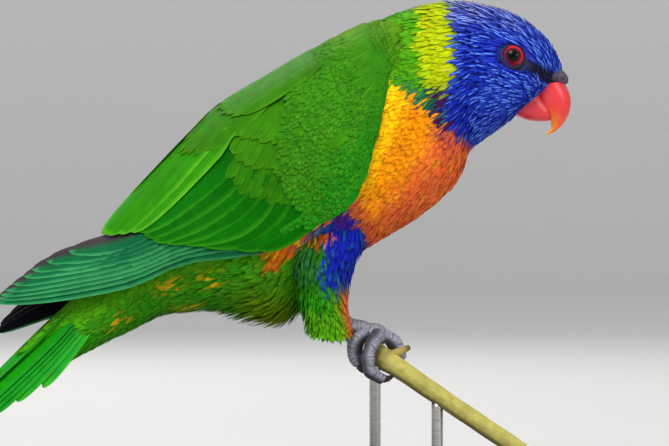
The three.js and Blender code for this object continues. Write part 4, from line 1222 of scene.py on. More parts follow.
def coverts(at, area):
    """The rows of coverts, from the greater coverts up, and the scapulars over the back."""
    look = {**COVERT, **COVERT_LOOK, "below": "greater"}
    return joined([
        tier(at, area, 8, [[3.2, 0.8], [3.9, 0.84], [4.6, 0.86]], [[4.4, 0.9], [5.2, 0.92], [5.9, 0.89]],
             (7.5, 7.5), (-0.2, 0.3), "marginal", "greater_edge", **look, bow=0.02),
        tier(at, area, 9, [[4.5, 0.34], [4.1, 0.54], [3.3, 0.7]], [[5.7, 0.5], [5.25, 0.74], [4.3, 0.88]],
             (9.0, 8.5), (0.1, 0.6), "greater", "greater_edge", **look),
        tier(at, area, 9, [[4.2, 0.28], [3.7, 0.48], [2.7, 0.64]], [[5.25, 0.42], [4.8, 0.62], [3.7, 0.8]],
             (9.5, 8.5), (-0.2, 0.8), "median", "median_edge", **look),
        tier(at, area, 9, [[3.9, 0.22], [3.4, 0.4], [2.4, 0.56]], [[4.95, 0.34], [4.4, 0.52], [3.3, 0.7]],
             (9.0, 8.0), (-0.4, 0.9), "median", "median_edge", **look),
        tier(at, area, 6, [[3.6, 0.03], [3.7, 0.14], [3.8, 0.24]], [[6.1, 0.05], [6.2, 0.16], [5.8, 0.28]],
             (11.0, 11.0), (0.5, 1.1), "median", "median_edge", **look),
        tier(at, area, 7, [[2.8, 0.02], [2.8, 0.12], [2.8, 0.24]], [[4.9, 0.03], [5.0, 0.14], [4.6, 0.26]],
             (9.0, 9.0), (0.6, 1.3), "median", "median_edge", **look),
    ])


def soft_coverts(at, area):
    """Small soft feathers over the wing's front, from the mantle to its lower edge. They start raggedly and
    sunk into the coat, so that no step shows where it ends."""
    roots = staggered(at, (0.3, 4.1), (0.0, 1.0), (1.6, 1.4), rng)
    u, v = roots.T
    low_edge = np.where(u < WING_START, 0.5, wing_edge(u) + 0.01)
    high_edge = np.interp(u, [2.6, 3.2, 4.1], [0.0, 0.3, 0.6])
    ragged_start = 0.3 + 0.9 * rng.uniform(size=len(u))
    roots = roots[(v < low_edge) & (v > high_edge) & (u > ragged_start)]
    u, v = roots.T
    count = len(roots)
    chance, other = rng.uniform(size=count), rng.uniform(size=count)
    to_edge = np.where(u < WING_START, 1.0, wing_edge(u) - v)
    swing = 0.02 + 0.03 * rise(v, 0.1, 0.5) + 0.012 * rng.normal(size=count)
    tip = laid(at, roots, 8.5 * rng.uniform(0.85, 1.15, count), swing)
    tip[:, 1] = np.minimum(tip[:, 1], wing_edge(np.maximum(tip[:, 0], WING_START)) + 0.02)
    sunk = 1.9 * rise(u, 1.7, 0.4) + 0.9 * rise(v, 0.3, 0.48) * rise(u, 1.7, 1.2)
    high = 0.5 + 0.04 * chance + 0.5 * rise(u, 2.4, 3.2) - 0.8 * sunk
    wide = 3.6 * rng.uniform(0.85, 1.15, count)
    shape = blades(
        at, roots, tip, wide, (-0.1 - sunk, high), unwrapped(area, roots), rng,
        rows=5, columns=2, thick=0.05, camber=26.0, pointed=0.8, ragged=0.02,
    )
    base = blend(WING_PAINT["lesser"], WING_PAINT["mantle"], rise(u + 3 * v, 2.9, 1.2) * (0.35 + 0.5 * other))
    near_edge = rise(to_edge, 0.3, 0.08) * (0.5 + 0.5 * chance) * rise(u, 1.8, 3.0)
    base = blend(base, WING_PAINT["marginal"], near_edge)
    base = base * (0.92 + 0.16 * chance)[:, None]
    shaft = blend(base, WING_PAINT["mantle_edge"], 0.1 + 0.2 * other)
    return painted(shape, base, shaft, base * 1.15, deep=0.0)


WING_BRINK = np.array(  # the folded wing's front edge, from the mantle down and along its lower side
    [
        [1.5, 0.0],
        [1.45, 0.2],
        [1.45, 0.4],
        [1.62, 0.545],
        [2.1, 0.69],
        [2.7, 0.83],
        [3.4, 0.95],
        [4.3, 0.99],
        [5.2, 0.99],
    ]
)


def brink_coverts(at, area):
    """Three rows of feathers that lie along the front edge, each bent over it, the outermost row first."""
    count, shapes = 66, []
    for inwards in (0.0, 0.03, 0.06):
        place = np.linspace(1.8, 7.3, count) + rng.normal(0, 0.03, count)
        line, ahead = row_at(WING_BRINK, place), row_at(WING_BRINK, place + 0.75)
        shift = np.where(place[:, None] < 2.6, [3 * inwards, 0.0], [0.0, -inwards])
        chance = rng.uniform(size=count)
        wide = 4.4 * rng.uniform(0.85, 1.15, count)
        shape = blades(
            at, line + shift, ahead + shift, wide, (0.0, 0.35 + 6 * inwards), unwrapped(area, line), rng,
            rows=6, columns=4, thick=0.1, camber=1.5 + 60 * inwards, pointed=0.85, ragged=0.04,
        )
        below = rise(place, 2.5, 5) * (0.4 + 0.6 * chance)
        base = blend(WING_PAINT["lesser"] + 0 * chance[:, None], WING_PAINT["marginal"], below)
        shaft = blend(base, WING_PAINT["mantle_edge"], 0.2 * chance)
        shapes.append(painted(shape, base, shaft, base * 1.15, deep=0.0))
    return joined(shapes)


def sided(side, shape):
    """The shape itself on the right and its mirror image on the left."""
    return mirrored(shape) if side == "left" else shape


for side, at in (("right", right_wing_at), ("left", left_wing_at)):
    area = "wing_" + side
    piece(f"wing_flights_{side}", sided(side, flights(at, area)), flight_feather, (area,))
    piece(f"wing_coverts_{side}", sided(side, coverts(at, area)), flight_feather)
    front = joined([brink_coverts(at, area), soft_coverts(at, area)])
    piece(f"wing_soft_coverts_{side}", sided(side, front), down_feather)

# %% [markdown]
# The tail is a narrow roof of twelve feathers, in pairs from the middle outwards, each shorter than the
# last and lying under it. It is rolled a little, so that its upper side turns to the bird's right.

# %% Tail
TAIL = {
    "start": (-65.9, 0.0, 86.3),
    "slope": np.radians(44),
    "roll": np.radians(22),
    "half": 17.0,
    "depth": 14.0,
}
TAIL_LENGTHS = np.array([97, 90, 82, 73, 63, 53]) / 10  # in cm, from the middle pair outwards


def tail_at(u, v):
    """u is centimetres along the tail and v goes from -1 to 1 across it: a ridge that falls by |v|^1.5."""
    u, v = (np.asarray(value, float)[..., None] for value in np.broadcast_arrays(u, v))
    cos, sin = np.cos(TAIL["slope"]), np.sin(TAIL["slope"])
    along, above, right = np.array([-cos, 0, -sin]), np.array([-sin, 0, cos]), np.array([0, -1, 0])
    across = right * np.cos(TAIL["roll"]) - above * np.sin(TAIL["roll"])
    up = above * np.cos(TAIL["roll"]) + right * np.sin(TAIL["roll"])
    return TAIL["start"] + 10 * u * along + TAIL["half"] * v * across - TAIL["depth"] * np.abs(v) ** 1.5 * up


TAIL_PAINT = palette(
    {"top": "#129208", "edge": "#1c9226", "band": "#3cae1c", "low": "#1a9a30", "under": "#8a8f1e"}
)


def tail_feathers():
    """Six pairs of blades. The outer ones lie lower."""
    pair = np.repeat(np.arange(6), 2)
    side = np.tile([-1.0, 1.0], 6)
    roots = np.stack([np.full(12, 1.6), side * (0.08 + 0.035 * pair)], -1)
    tips = np.stack([TAIL_LENGTHS[pair], side * (0.13 + 0.12 * pair)], -1)
    shape = blades(tail_at, roots, tips, 13.0 - 0.6 * pair, (0.6 - 0.45 * pair, 0.5 - 0.4 * pair),
                   unwrapped("tail", roots), rng, rows=18, columns=6, thick=0.4, tilt=side * 0.45,
                   camber=22.0, pointed=0.75)
    outer = rise(pair, 2, 5)[:, None]
    base = TAIL_PAINT["top"] + (TAIL_PAINT["low"] - TAIL_PAINT["top"]) * outer
    edge = TAIL_PAINT["edge"] + (TAIL_PAINT["band"] - TAIL_PAINT["edge"]) * outer
    return painted(shape, base, base * 0.7, edge, TAIL_PAINT["under"] + 0 * outer, deep=0.3)


piece("tail_feathers", tail_feathers(), flight_feather, ("tail",))
trunk_coat(
    "tail_coverts", "green_feathers", (12.6, 16.8), (0, 1), (1.9, 1.7),
    lambda rib, degrees: np.interp(rib, [12.6, 16.8], [12.0, 20.0]), constant(2.6),
    lambda rib, degrees: np.interp(rib, [12.6, 16.8], [0.3, -0.8]),
    rows=6, columns=2, thick=0.12, camber=12.0, pointed=0.95, ragged=0.05, deep=0.1, drift=0.01,
)

# %% [markdown]
# The bill is horn in two halves: the upper one curves down over the lower one. Each is a loft like the
# trunk, with squarer sides. Its colour runs from coral red at the root to orange on its lower front and
# yellow at the tip.

# %% Bill and cere
UPPER_BILL = np.array(
    [
        [87.3, 147.0, 76.2, 145.2, 5.9],
        [89.4, 142.4, 77.7, 140.7, 5.7],
        [89.7, 138.4, 79.6, 137.3, 5.0],
        [88.6, 134.4, 82.3, 134.0, 3.6],
        [86.3, 131.0, 82.8, 130.9, 2.1],
        [83.6, 129.1, 81.9, 129.6, 1.1],
        [81.4, 128.1, 81.1, 128.3, 0.3],
    ]
)
LOWER_BILL = np.array(
    [
        [78.1, 144.3, 70.0, 135.2, 5.3],
        [80.4, 141.1, 74.4, 133.4, 5.1],
        [82.5, 137.8, 78.6, 132.9, 4.2],
        [84.0, 134.8, 81.8, 133.0, 2.0],
    ]
)
CERE_RIBS = np.array(
    [
        [79.8, 149.0, 79.0, 146.6, 5.6],
        [82.6, 150.5, 82.0, 146.3, 6.4],
        [86.2, 150.9, 86.1, 145.9, 6.0],
        [88.9, 149.2, 88.9, 145.9, 4.2],
    ]
)


def loft_shape(ribs, rows, around, square=1.0, grow=0.0):
    """A closed loft and the rib number and turn of each of its points."""
    number, turn = np.meshgrid(np.linspace(0, len(ribs) - 1, rows), np.arange(around) / around, indexing="ij")
    points = loft_at(ribs, number, turn, grow, square)
    return {"points": points.reshape(-1, 3), "faces": tube_faces(rows, around)}, number.ravel(), turn.ravel()


HORN = [linear(code) for code in ("#d8283c", "#e03028", "#f07a14", "#ffc024")]


def horn_tint(place):
    """The four horn colours in order, mixed by a number from 0 to 3."""
    colours = np.array(HORN)
    return np.stack([np.interp(place, np.arange(4), colours[:, k]) for k in range(3)], -1)


horn, tree, shader = new_material(
    "bill_horn_polished", Roughness=0.36, IOR=1.5, Coat_Weight=0.15, Coat_Roughness=0.2
)
coordinates = add(tree, "TexCoord").outputs["Object"]
stretched = add(tree, "Mapping", {"Vector": coordinates, "Scale": (900.0, 900.0, 250.0)}).outputs["Vector"]
growth = add(tree, "TexNoise", {"Vector": stretched, "Scale": 1.0, "Detail": 4.0}).outputs["Fac"]
tint = add(tree, "Attribute", attribute_name="Tint").outputs["Color"]
shade = add(tree, "MapRange", {"Value": growth, **MIDDLE_OF_NOISE, "To Min": 0.86, "To Max": 1.08})
colour = add(tree, "VectorMath", {0: tint, "Scale": shade.outputs[0]}, operation="SCALE").outputs["Vector"]
tree.links.new(colour, shader.inputs["Base Color"])
bump = add(tree, "Bump", {"Height": growth, "Strength": 0.25, "Distance": 0.15 * MM})
tree.links.new(bump.outputs["Normal"], shader.inputs["Normal"])

shape, number, turn = loft_shape(UPPER_BILL, 72, 56, 0.8)
front = 0.9 * rise(np.cos(2 * np.pi * turn), 0.5, -1.0) * rise(number, 0.8, 3)
shape["tint"] = horn_tint(0.36 * number + front)
piece("upper_bill", shape, horn, ("bill_upper",))
shape, number, turn = loft_shape(LOWER_BILL, 48, 48, 0.7)
# The lower half is the same horn, a little darker: painted shade under the upper half.
shape["tint"] = horn_tint(0.3 * number) * 0.92
piece("lower_bill", shape, horn, ("bill_lower",))

NOSTRIL = np.array([86.2, -5.0, 147.9])
shape, number, turn = loft_shape(CERE_RIBS, 48, 64, grow=0.3)
middle = loft_at(CERE_RIBS, number, 0.25 + 0 * turn, 0.3) * [1, 0, 1] + [0, 0, -0.3]
ends = np.clip(1 - np.abs(number / 1.5 - 1) ** 3.2, 0.002, 1) ** 0.5
shape["points"] = middle + (shape["points"] - middle) * ends[:, None]
away = np.linalg.norm(shape["points"] - NOSTRIL, axis=-1)
away = np.minimum(away, np.linalg.norm(shape["points"] - NOSTRIL * MIRROR, axis=-1))
hole = np.exp(-((away / 0.9) ** 2))
rim = np.exp(-(((away - 1.35) / 0.45) ** 2))
middle = np.array([85.0, 0, 147.6])
shape["points"] = shape["points"] + (middle - shape["points"]) * (0.3 * hole - 0.06 * rim)[:, None]
# The nostrils are darkened nearly to black: painted shade in their hollows.
light = 1 - 0.92 * rise(hole, 0.2, 0.6)
shape["tint"] = blend(linear("#40384a"), linear("#6a4a5c"), 0.7 * rim) * light[:, None]
cere_skin, tree, shader = new_material("cere_bare_skin", Roughness=0.55, Specular_IOR_Level=0.3)
tree.links.new(add(tree, "Attribute", attribute_name="Tint").outputs["Color"], shader.inputs["Base Color"])
coordinates = add(tree, "TexCoord").outputs["Object"]
pores = add(tree, "TexVoronoi", {"Vector": coordinates, "Scale": 1800.0}).outputs["Distance"]
bump = add(tree, "Bump", {"Height": pores, "Strength": 0.4, "Distance": 0.1 * MM})
tree.links.new(bump.outputs["Normal"], shader.inputs["Normal"])
piece("cere_skin", shape, cere_skin, ("cere",))

# %% [markdown]
# The eye is a ball with a wet, clear surface: a black pupil, a maroon ring and a red iris with fine
# threads. Two lids make a bare grey ring round it, with small warts.

# %% Eyes and lids
EYE_AXIS = np.array([0.03, -1.0, 0.05])
EYE_AXIS = EYE_AXIS / np.linalg.norm(EYE_AXIS)
SIDE_A = np.cross(EYE_AXIS, [0, 0, 1.0])
SIDE_A = SIDE_A / np.linalg.norm(SIDE_A)
SIDE_B = np.cross(SIDE_A, EYE_AXIS)
EYE_LEAN = normal_at(trunk_at, EYE["rib"], EYE["turn"])  # the lids lie in the surface's own slope


def turned_about_axis(radius, height, around):
    """A profile of radii and heights turned about the eye's axis, from the eye's middle."""
    angle = 2 * np.pi * np.arange(around) / around
    ring = np.cos(angle)[:, None] * SIDE_A + np.sin(angle)[:, None] * SIDE_B
    return eye_middle + radius[:, None, None] * ring + height[:, None, None] * EYE_AXIS, angle


def eyeball():
    """A sphere; its colour depends on the distance from its axis."""
    lift = np.linspace(0.01, np.pi - 0.01, 90)
    points, angle = turned_about_axis(EYE["radius"] * np.sin(lift), EYE["radius"] * np.cos(lift), 96)
    away = (EYE["radius"] * np.sin(lift))[:, None] + 0 * angle
    threads = 0.5 + 0.5 * np.sin(37 * angle + 2 * np.sin(11 * angle)) * np.sin(23 * angle + 1.3)
    iris = blend(linear("#3c0a18")[None, None], linear("#6e1024"), rise(away, 2.0, 2.7))
    iris = blend(iris, linear("#d01c38"), rise(away, 2.75, 3.1))
    iris = iris * (0.75 + 0.4 * threads)[None, :, None]
    iris = blend(iris, linear("#2a0810"), rise(away, 3.45, 3.7))
    tint = blend(np.broadcast_to(linear("#030303"), iris.shape), iris, rise(away, 1.8, 1.95))
    return {"points": points.reshape(-1, 3), "faces": tube_faces(90, 96), "tint": tint.reshape(-1, 3)}


def lids():
    """A rounded bead round the eye, with warts, moved out or in so that it lies along the face."""
    loop = np.linspace(0, 2 * np.pi, 20, endpoint=False)
    out = np.sqrt(EYE["radius"] ** 2 - 3.5**2)
    radius, height = 4.25 + 0.8 * np.cos(loop), out - 0.35 + 0.55 * np.sin(loop) - 0.4 * np.cos(loop)
    points, angle = turned_about_axis(radius, height, 120)
    lean = points - eye_middle
    lean = (lean[..., :1] * EYE_LEAN[0] + lean[..., 2:] * EYE_LEAN[2]) / EYE_LEAN[1] + 0.15
    points = points + lean * EYE_AXIS
    wart = 0.07 * np.maximum(0, np.sin(26 * angle)) * np.maximum(0, np.sin(loop))[:, None]
    points = points + wart[..., None] * EYE_AXIS
    ring, row = len(angle), len(loop)
    i, j = np.meshgrid(np.arange(row), np.arange(ring), indexing="ij")
    a, b = i * ring + j, i * ring + (j + 1) % ring
    c, d = (i + 1) % row * ring + (j + 1) % ring, (i + 1) % row * ring + j
    # Lighter on the warts' tops and darker between them: painted light and shade on the warts.
    tint = linear("#10132e") * (0.75 + 0.6 * rise(wart, 0.0, 0.07))[..., None]
    return {"points": points.reshape(-1, 3), "faces": [np.stack([a, d, c, b], -1).reshape(-1, 4)],
            "tint": tint.reshape(-1, 3)}


wet_eye, tree, shader = new_material("eye_wet_cornea", Roughness=0.04, Specular_IOR_Level=0.14)
tree.links.new(add(tree, "Attribute", attribute_name="Tint").outputs["Color"], shader.inputs["Base Color"])
for side in ("right", "left"):
    piece(f"eyeball_{side}", sided(side, eyeball()), wet_eye, (f"eye_{side}",))
    piece(f"lids_{side}", sided(side, lids()), cere_skin)


# %% [markdown]
# Toes, claws, the branch and its twig are tubes: a circle carried along a smooth line, with a radius
# that changes on the way. The line is the same curve as in the model, with knots spaced by the square
# root of the distance, so the toes close round the branch.


# %% Tubes
def along_line(points, places):
    """Cubic pieces through the points, whose slopes weigh the neighbours by the roots of their distances."""
    ends = np.concatenate([[2 * points[0] - points[1]], points, [2 * points[-1] - points[-2]]])
    knot = np.sqrt(np.linalg.norm(np.diff(ends, axis=0), axis=1))[:, None]
    i = np.clip(np.floor(places).astype(int), 0, len(points) - 2)
    p, q, r, s = (ends[i + k] for k in range(4))
    a, b, c = (knot[i + k] for k in range(3))
    start = b * ((q - p) / a - (r - p) / (a + b) + (r - q) / b)
    end = b * ((r - q) / b - (s - q) / (b + c) + (s - r) / c)
    return hermite(q, r, start, end, (places - i)[:, None])


def tube(points, radii, rows, around, reference, rounded=(0.6, 0.6), relief=None):
    """Angle 0 is tangent x reference. relief(s, angle) is added to the radius, both in mm, with s mm along
    the line. Returns the shape, s, the angle and how far each point of a ring faces up."""
    points, radii = np.array(points, float), np.array(radii, float)
    places = np.linspace(0, len(points) - 1, rows)
    line = along_line(points, places)
    radius = np.interp(places / places[-1] * (len(radii) - 1), np.arange(len(radii)), radii)
    tangent = np.gradient(line, axis=0)
    tangent /= np.linalg.norm(tangent, axis=1, keepdims=True)
    cap = np.linspace(0, np.pi / 2, 7)[1:]
    first, last = cap[::-1], cap
    before = -rounded[0] * radius[0] * np.sin(first)
    after = rounded[1] * radius[-1] * np.sin(last)
    shift = np.concatenate([before, 0 * radius, after])
    scale = np.concatenate([np.cos(first), 0 * radius + 1, np.cos(last)])
    scale = np.maximum(scale, 0.03)
    index = np.concatenate([np.zeros(6, int), np.arange(rows), np.full(6, rows - 1)])
    line, tangent, radius = line[index], tangent[index], radius[index]
    line = line + tangent * shift[:, None]
    out = np.cross(tangent, reference)
    out /= np.linalg.norm(out, axis=1, keepdims=True)
    side = np.cross(out, tangent)
    angle = 2 * np.pi * np.arange(around) / around
    s = np.concatenate([[0], np.cumsum(np.linalg.norm(np.diff(line, axis=0), axis=1))])[:, None]
    radius = radius[:, None] + 0 * angle
    if relief is not None:
        radius = radius + relief(s, angle[None])
    radius = radius * scale[:, None]
    ring = np.cos(angle)[None, :, None] * out[:, None] + np.sin(angle)[None, :, None] * side[:, None]
    grid = line[:, None] + radius[..., None] * ring
    shape = {"points": grid.reshape(-1, 3), "faces": tube_faces(len(line), around)}
    return shape, s, angle[None], ring[..., 2]


# %% [markdown]
# A parrot's foot has two toes in front and two behind. Its skin is blue-grey and scaly: broad plates
# across the top of each toe, some 1.3 mm long, and fleshy pads below. The tops are painted lighter, and
# the soles and the grooves darker, as painted light and shade. The claws are dark horn.

# %% Feet
PERCH_X, PERCH_Z = 21.4, 52.0
FOOT_PLACE = {"right": -9.5, "left": -13.0}
TARSUS = [[-15.4, -0.6, 11.4], [-10.0, -0.4, 9.6], [-3.0, 0.2, 7.4], [1.5, 0.6, 6.4]]
TARSUS_RADII = [2.6, 2.6, 2.9, 3.0]
TOE_RADII = [2.6, 2.3, 2.3, 2.0]
CLAW_RADII = [1.5, 1.1, 0.25]
HIND_TOES = {
    "outer_hind": (
        [[-4.2, -2.2, 7.0], [-7.2, -3.2, 4.4], [-8.0, -3.4, 0.4], [-6.6, -2.8, -3.4]],
        [[-4.6, -2.2, -5.8], [-1.8, -1.6, -6.6]],
    ),
    "inner_hind": (
        [[-4.0, 2.4, 6.6], [-6.6, 3.2, 3.6], [-6.9, 3.4, 0.0], [-5.6, 3.2, -3.0]],
        [[-3.6, 3.0, -5.0], [-1.0, 2.8, -5.8]],
    ),
}
TOES = {
    "right": {
        "outer_front": (
            [[0.6, -1.6, 6.3], [-1.6, -5.2, 3.4], [-3.0, -6.6, -1.4], [-2.2, -6.2, -6.0], [1.6, -4.6, -8.6]],
            [[4.0, -3.4, -8.6], [6.6, -2.2, -7.2]],
        ),
        "inner_front": (
            [[2.0, 1.8, 6.0], [5.2, 2.6, 5.0], [8.0, 3.0, 1.4], [8.4, 3.2, -1.6]],
            [[7.4, 3.4, -4.4], [5.2, 3.6, -6.6]],
        ),
        **HIND_TOES,
    },
    "left": {
        "outer_front": (
            [[1.4, -2.2, 6.2], [5.0, -3.0, 4.4], [6.6, -3.2, 0.6], [5.6, -3.0, -3.6]],
            [[3.8, -2.8, -5.8], [1.0, -2.6, -6.6]],
        ),
        "inner_front": (
            [[1.8, 1.8, 6.2], [5.2, 2.6, 4.2], [6.7, 2.8, 0.4], [5.8, 2.8, -3.2]],
            [[4.0, 2.8, -5.6], [1.2, 2.8, -6.6]],
        ),
        **HIND_TOES,
    },
}


def groove_at(s, angle):
    """Near 1 in the grooves between scutes, whose line wavers along the toe and round it."""
    phase = s / 1.1 + 0.22 * np.sin(1.9 * s) + 0.16 * np.sin(3 * angle + 0.8 * s)
    return np.exp(-(((phase % 1 - 0.5) / 0.16) ** 2))


def scutes(s, angle):
    """Grooves some 1.1 mm apart across the top, of uneven depth, and pads every 3.6 mm below."""
    top = rise(np.cos(angle), -0.3, 0.4)
    groove = groove_at(s, angle) * (0.6 + 0.4 * np.sin(1.7 * s + 1.0))
    pad = np.abs(np.sin(np.pi * s / 3.6)) ** 0.7
    return -0.22 * groove * top + 0.2 * (pad - 0.6) * (1 - top) + 0.16 * np.sin(2 * np.pi * s / 5.3)


def foot_part(line, radii, rows, reference):
    """A tube with scutes, blue-grey above and darker in the grooves and on the soles: painted light and
    shade.
    """
    shape, s, angle, _ = tube(line, radii, rows, 28, reference, relief=scutes)
    top = rise(np.cos(angle), -0.5, 0.3)
    groove = groove_at(s, angle) * top
    # Lighter on top and darker in the grooves and on the soles: painted light and shade on one blue-grey
    # skin.
    tint = blend(linear("#3c3a44") + 0 * (top * s)[..., None], linear("#8c8e9c"), top * (1 - 0.75 * groove))
    shape["tint"] = tint.reshape(-1, 3)
    return shape


scaly_skin, tree, shader = new_material("foot_scaly_skin", Roughness=0.55)
coordinates = add(tree, "TexCoord").outputs["Object"]
cells = add(tree, "TexVoronoi", {"Vector": coordinates, "Scale": 1300.0}).outputs["Distance"]
blotch = add(tree, "TexNoise", {"Vector": coordinates, "Scale": 300.0, "Detail": 3.0}).outputs["Fac"]
tint = add(tree, "Attribute", attribute_name="Tint").outputs["Color"]
shade = add(tree, "MapRange", {"Value": blotch, **MIDDLE_OF_NOISE, "To Min": 0.75, "To Max": 1.15})
colour = add(tree, "VectorMath", {0: tint, "Scale": shade.outputs[0]}, operation="SCALE").outputs["Vector"]
tree.links.new(colour, shader.inputs["Base Color"])
bump = add(tree, "Bump", {"Height": cells, "Strength": 0.8, "Distance": 0.25 * MM})
tree.links.new(bump.outputs["Normal"], shader.inputs["Normal"])
claw_keratin, tree, shader = new_material("claw_horn_dark", Roughness=0.32, IOR=1.55)
coordinates = add(tree, "TexCoord").outputs["Object"]
fibre = add(tree, "TexNoise", {"Vector": coordinates, "Scale": 700.0, "Detail": 3.0}).outputs["Fac"]
keratin = ramp_between(tree, fibre, [(0.35, "#1d1a1c"), (0.7, "#4a464a")])
tree.links.new(keratin, shader.inputs["Base Color"])


def on_perch(side, line):
    """From the grip's middle to the model's frame, as if on the right side."""
    return np.array(line, float) + [PERCH_X, FOOT_PLACE[side], PERCH_Z]


for side, toes in TOES.items():
    parts = [foot_part(on_perch(side, TARSUS), TARSUS_RADII, 64, [0, 1, 0.001])]
    for toe, (line, _) in toes.items():
        forwards = -1 if "hind" in toe else 1
        parts.append(foot_part(on_perch(side, line), TOE_RADII, 90, [0, forwards, 0.001]))
    piece(f"scaly_foot_{side}", sided(side, joined(parts)), scaly_skin, (f"foot_{side}",))
    for toe, (line, hook) in toes.items():
        root = 0.6 * np.array(line[-1]) + 0.4 * np.array(hook[0])
        shape, *_ = tube(on_perch(side, [root, *hook]), CLAW_RADII, 24, 20, [0, 1, 0.001], (0.3, 0.5))
        piece(f"hook_{side}_{toe}", sided(side, shape), claw_keratin, (f"claw_{side}_{toe}",))

# %% [markdown]
# The perch is a young branch with smooth olive bark: fine lengthwise wrinkles, small pale pores and a
# node with a cut twig. Where it is cut off, pale wood shows. It is held by two steel rods on a low
# wooden base, which stand in for the tree it grew on.

# %% Perch and stand
PERCH_LINE = np.array(
    [
        [0, 30, 0.5, 3.4],
        [-0.3, 16, 0.2, 3.6],
        [0, 2, 0, 3.6],
        [0.6, -6.5, -0.6, 3.7],
        [5.5, -12.0, -3.6, 3.5],
        [14, -14.4, -9.4, 3.3],
        [28, -16.6, -18.8, 3.1],
        [50, -18.4, -33.6, 3.1],
    ]
)
NODE_AT = 43  # mm along the branch
STUB_LINE = np.array([[4.0, -11.0, -1.5], [8.0, -11.8, 0.6], [11.4, -12.4, 2.2]])


def wrinkles(s, angle):
    """Low ridges along the bark, and a swelling at the node."""
    ridge = 0.07 * np.sin(9 * angle + 0.5 * np.sin(s / 3)) + 0.05 * np.sin(s / 2.1 + 2 * np.sin(angle))
    node = 0.35 * np.exp(-(((s - NODE_AT) / 2.2) ** 2))
    return ridge + node


def bark_tint(s, up):
    """Olive yellow on top and browner and darker below, the darkening being painted shade on the
    underside; greyer towards the far end and darker at the node.
    """
    # Browner and darker where the bark faces down: the darkening is painted shade on the underside.
    colour = blend(linear("#b0a850"), linear("#706434"), rise(up, 0.1, -0.9))
    colour = blend(colour, linear("#a39a82"), 0.6 * rise(s, 38, 30) + 0 * up)
    return blend(colour, linear("#6a5630"), 0.6 * np.exp(-(((s - NODE_AT) / 1.4) ** 2)) + 0 * up)


bark, tree, shader = new_material("young_bark", Roughness=0.75)
coordinates = add(tree, "TexCoord").outputs["Object"]
tint = add(tree, "Attribute", attribute_name="Tint").outputs["Color"]
patchy = {"Vector": coordinates, "Scale": 260.0, "Detail": 5.0, "Roughness": 0.65}
streak = add(tree, "TexNoise", patchy).outputs["Fac"]
pore = add(tree, "TexVoronoi", {"Vector": coordinates, "Scale": 560.0}).outputs["Distance"]
pore_range = {"From Min": 0.08, "From Max": 0.14, "To Min": 0.6, "To Max": 0.0}
spot_mask = add(tree, "MapRange", {"Value": pore, **pore_range}).outputs[0]
shade = add(tree, "MapRange", {"Value": streak, **MIDDLE_OF_NOISE, "To Min": 0.7, "To Max": 1.2}).outputs[0]
colour = add(tree, "VectorMath", {0: tint, "Scale": shade}, operation="SCALE").outputs["Vector"]
pale = add(tree, "Mix", {0: spot_mask, 6: colour, 7: (*linear("#c9bf86"), 1)}, data_type="RGBA").outputs[2]
tree.links.new(pale, shader.inputs["Base Color"])
bump = add(tree, "Bump", {"Height": streak, "Strength": 0.6, "Distance": 0.35 * MM})
tree.links.new(bump.outputs["Normal"], shader.inputs["Normal"])

branch, s, _, up = tube(PERCH_LINE[:, :3] + [PERCH_X, 0, PERCH_Z], PERCH_LINE[:, 3], 150, 48, [0, 0.001, 1],
                           (0.12, 0.12), wrinkles)
branch["tint"] = bark_tint(s, up).reshape(-1, 3)
stub, s, _, up = tube(STUB_LINE + [PERCH_X, 0, PERCH_Z], [2.1, 1.5, 0.9], 40, 28, [0, 1, 0.001], (0, 0.3))
stub["tint"] = blend(linear("#a08c48"), linear("#4c3a26"), rise(s, 6.0, 9.0) + 0 * up).reshape(-1, 3)
piece("branch", joined([branch, stub]), bark, ("perch",))

BASE = {"long": 132.0, "wide": 92.0, "high": 12.0, "round": 22.0, "edge": 1.5}


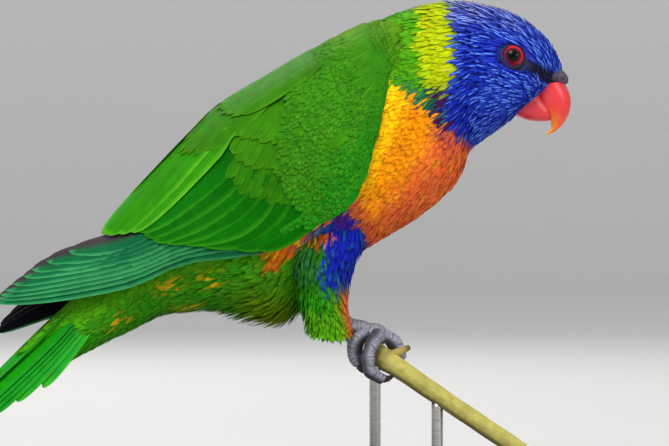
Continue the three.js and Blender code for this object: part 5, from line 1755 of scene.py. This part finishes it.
def base_shape():
    """A slab: a rounded rectangle of changing inset, whose edges are quarter circles."""
    turn = np.linspace(0, np.pi / 2, 9)
    edge, high = BASE["edge"], BASE["high"]
    inset = np.concatenate([[edge], edge * (1 - np.sin(turn)), edge * (1 - np.cos(turn)), [8, 20, 40]])
    height = np.concatenate([[0.0], edge * (1 - np.cos(turn)), high - edge + edge * np.sin(turn), [high] * 3])
    corner = np.linspace(0, 2 * np.pi, 96, endpoint=False) + np.pi / 96
    direction = np.stack([np.cos(corner), np.sin(corner)], -1)
    centre = np.sign(direction) * [BASE["long"] / 2 - BASE["round"], BASE["wide"] / 2 - BASE["round"]]
    radius = BASE["round"] - np.minimum(inset, BASE["round"] - 0.5)
    flat = centre[None] + radius[:, None, None] * direction[None]
    points = np.concatenate([flat, np.broadcast_to(height[:, None, None], (*flat.shape[:2], 1))], -1)
    return {"points": points.reshape(-1, 3), "faces": tube_faces(len(inset), 96)}


walnut, tree, shader = new_material(
    "stained_walnut_satin", Roughness=0.42, Coat_Weight=0.2, Coat_Roughness=0.3
)
coordinates = add(tree, "TexCoord").outputs["Object"]
stretched = add(tree, "Mapping", {"Vector": coordinates, "Scale": (12.0, 160.0, 160.0)}).outputs["Vector"]
grain = {"Vector": stretched, "Scale": 1.0, "Detail": 6.0, "Distortion": 0.6}
rings = add(tree, "TexNoise", grain).outputs["Fac"]
wood = ramp_between(tree, rings, [(0.3, "#2a1a12"), (0.5, "#432c1e"), (0.7, "#5c4030")])
tree.links.new(wood, shader.inputs["Base Color"])
bump = add(tree, "Bump", {"Height": rings, "Strength": 0.2, "Distance": 0.2 * MM})
tree.links.new(bump.outputs["Normal"], shader.inputs["Normal"])
piece("wooden_base", base_shape(), walnut, ("stand_base",))

steel, tree, shader = new_material("brushed_steel", Metallic=1.0, Roughness=0.32)
coordinates = add(tree, "TexCoord").outputs["Object"]
stretched = add(tree, "Mapping", {"Vector": coordinates, "Scale": (300.0, 300.0, 4000.0)}).outputs["Vector"]
brushing = add(tree, "TexNoise", {"Vector": stretched, "Scale": 1.0, "Detail": 2.0}).outputs["Fac"]
grey = ramp_between(tree, brushing, [(0.3, "#9a9a98"), (0.7, "#c4c4c2")])
tree.links.new(grey, shader.inputs["Base Color"])
for node in ("stand_rod_front", "stand_rod_back"):
    low, high = (np.array(corner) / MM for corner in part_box(node))
    line = np.linspace([*(low + high)[:2] / 2, low[2]], [*(low + high)[:2] / 2, high[2]], 3)
    shape, *_ = tube(line, [2.0, 2.0], 12, 40, [0, 1, 0], (0, 0))
    piece(node.replace("stand", "steel"), shape, steel, (node,))

# %% [markdown]
# Last, the sizes of the imported model and of the dressed one are printed one after the other.

# %% Sizes and finish
visual_low, visual_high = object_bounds()
sizes = {"cad": [list(cad_low), list(cad_high)], "visual": [list(visual_low), list(visual_high)]}
for key, box in sizes.items():
    print("size", key, [[round(v / MM, 1) for v in corner] for corner in box])
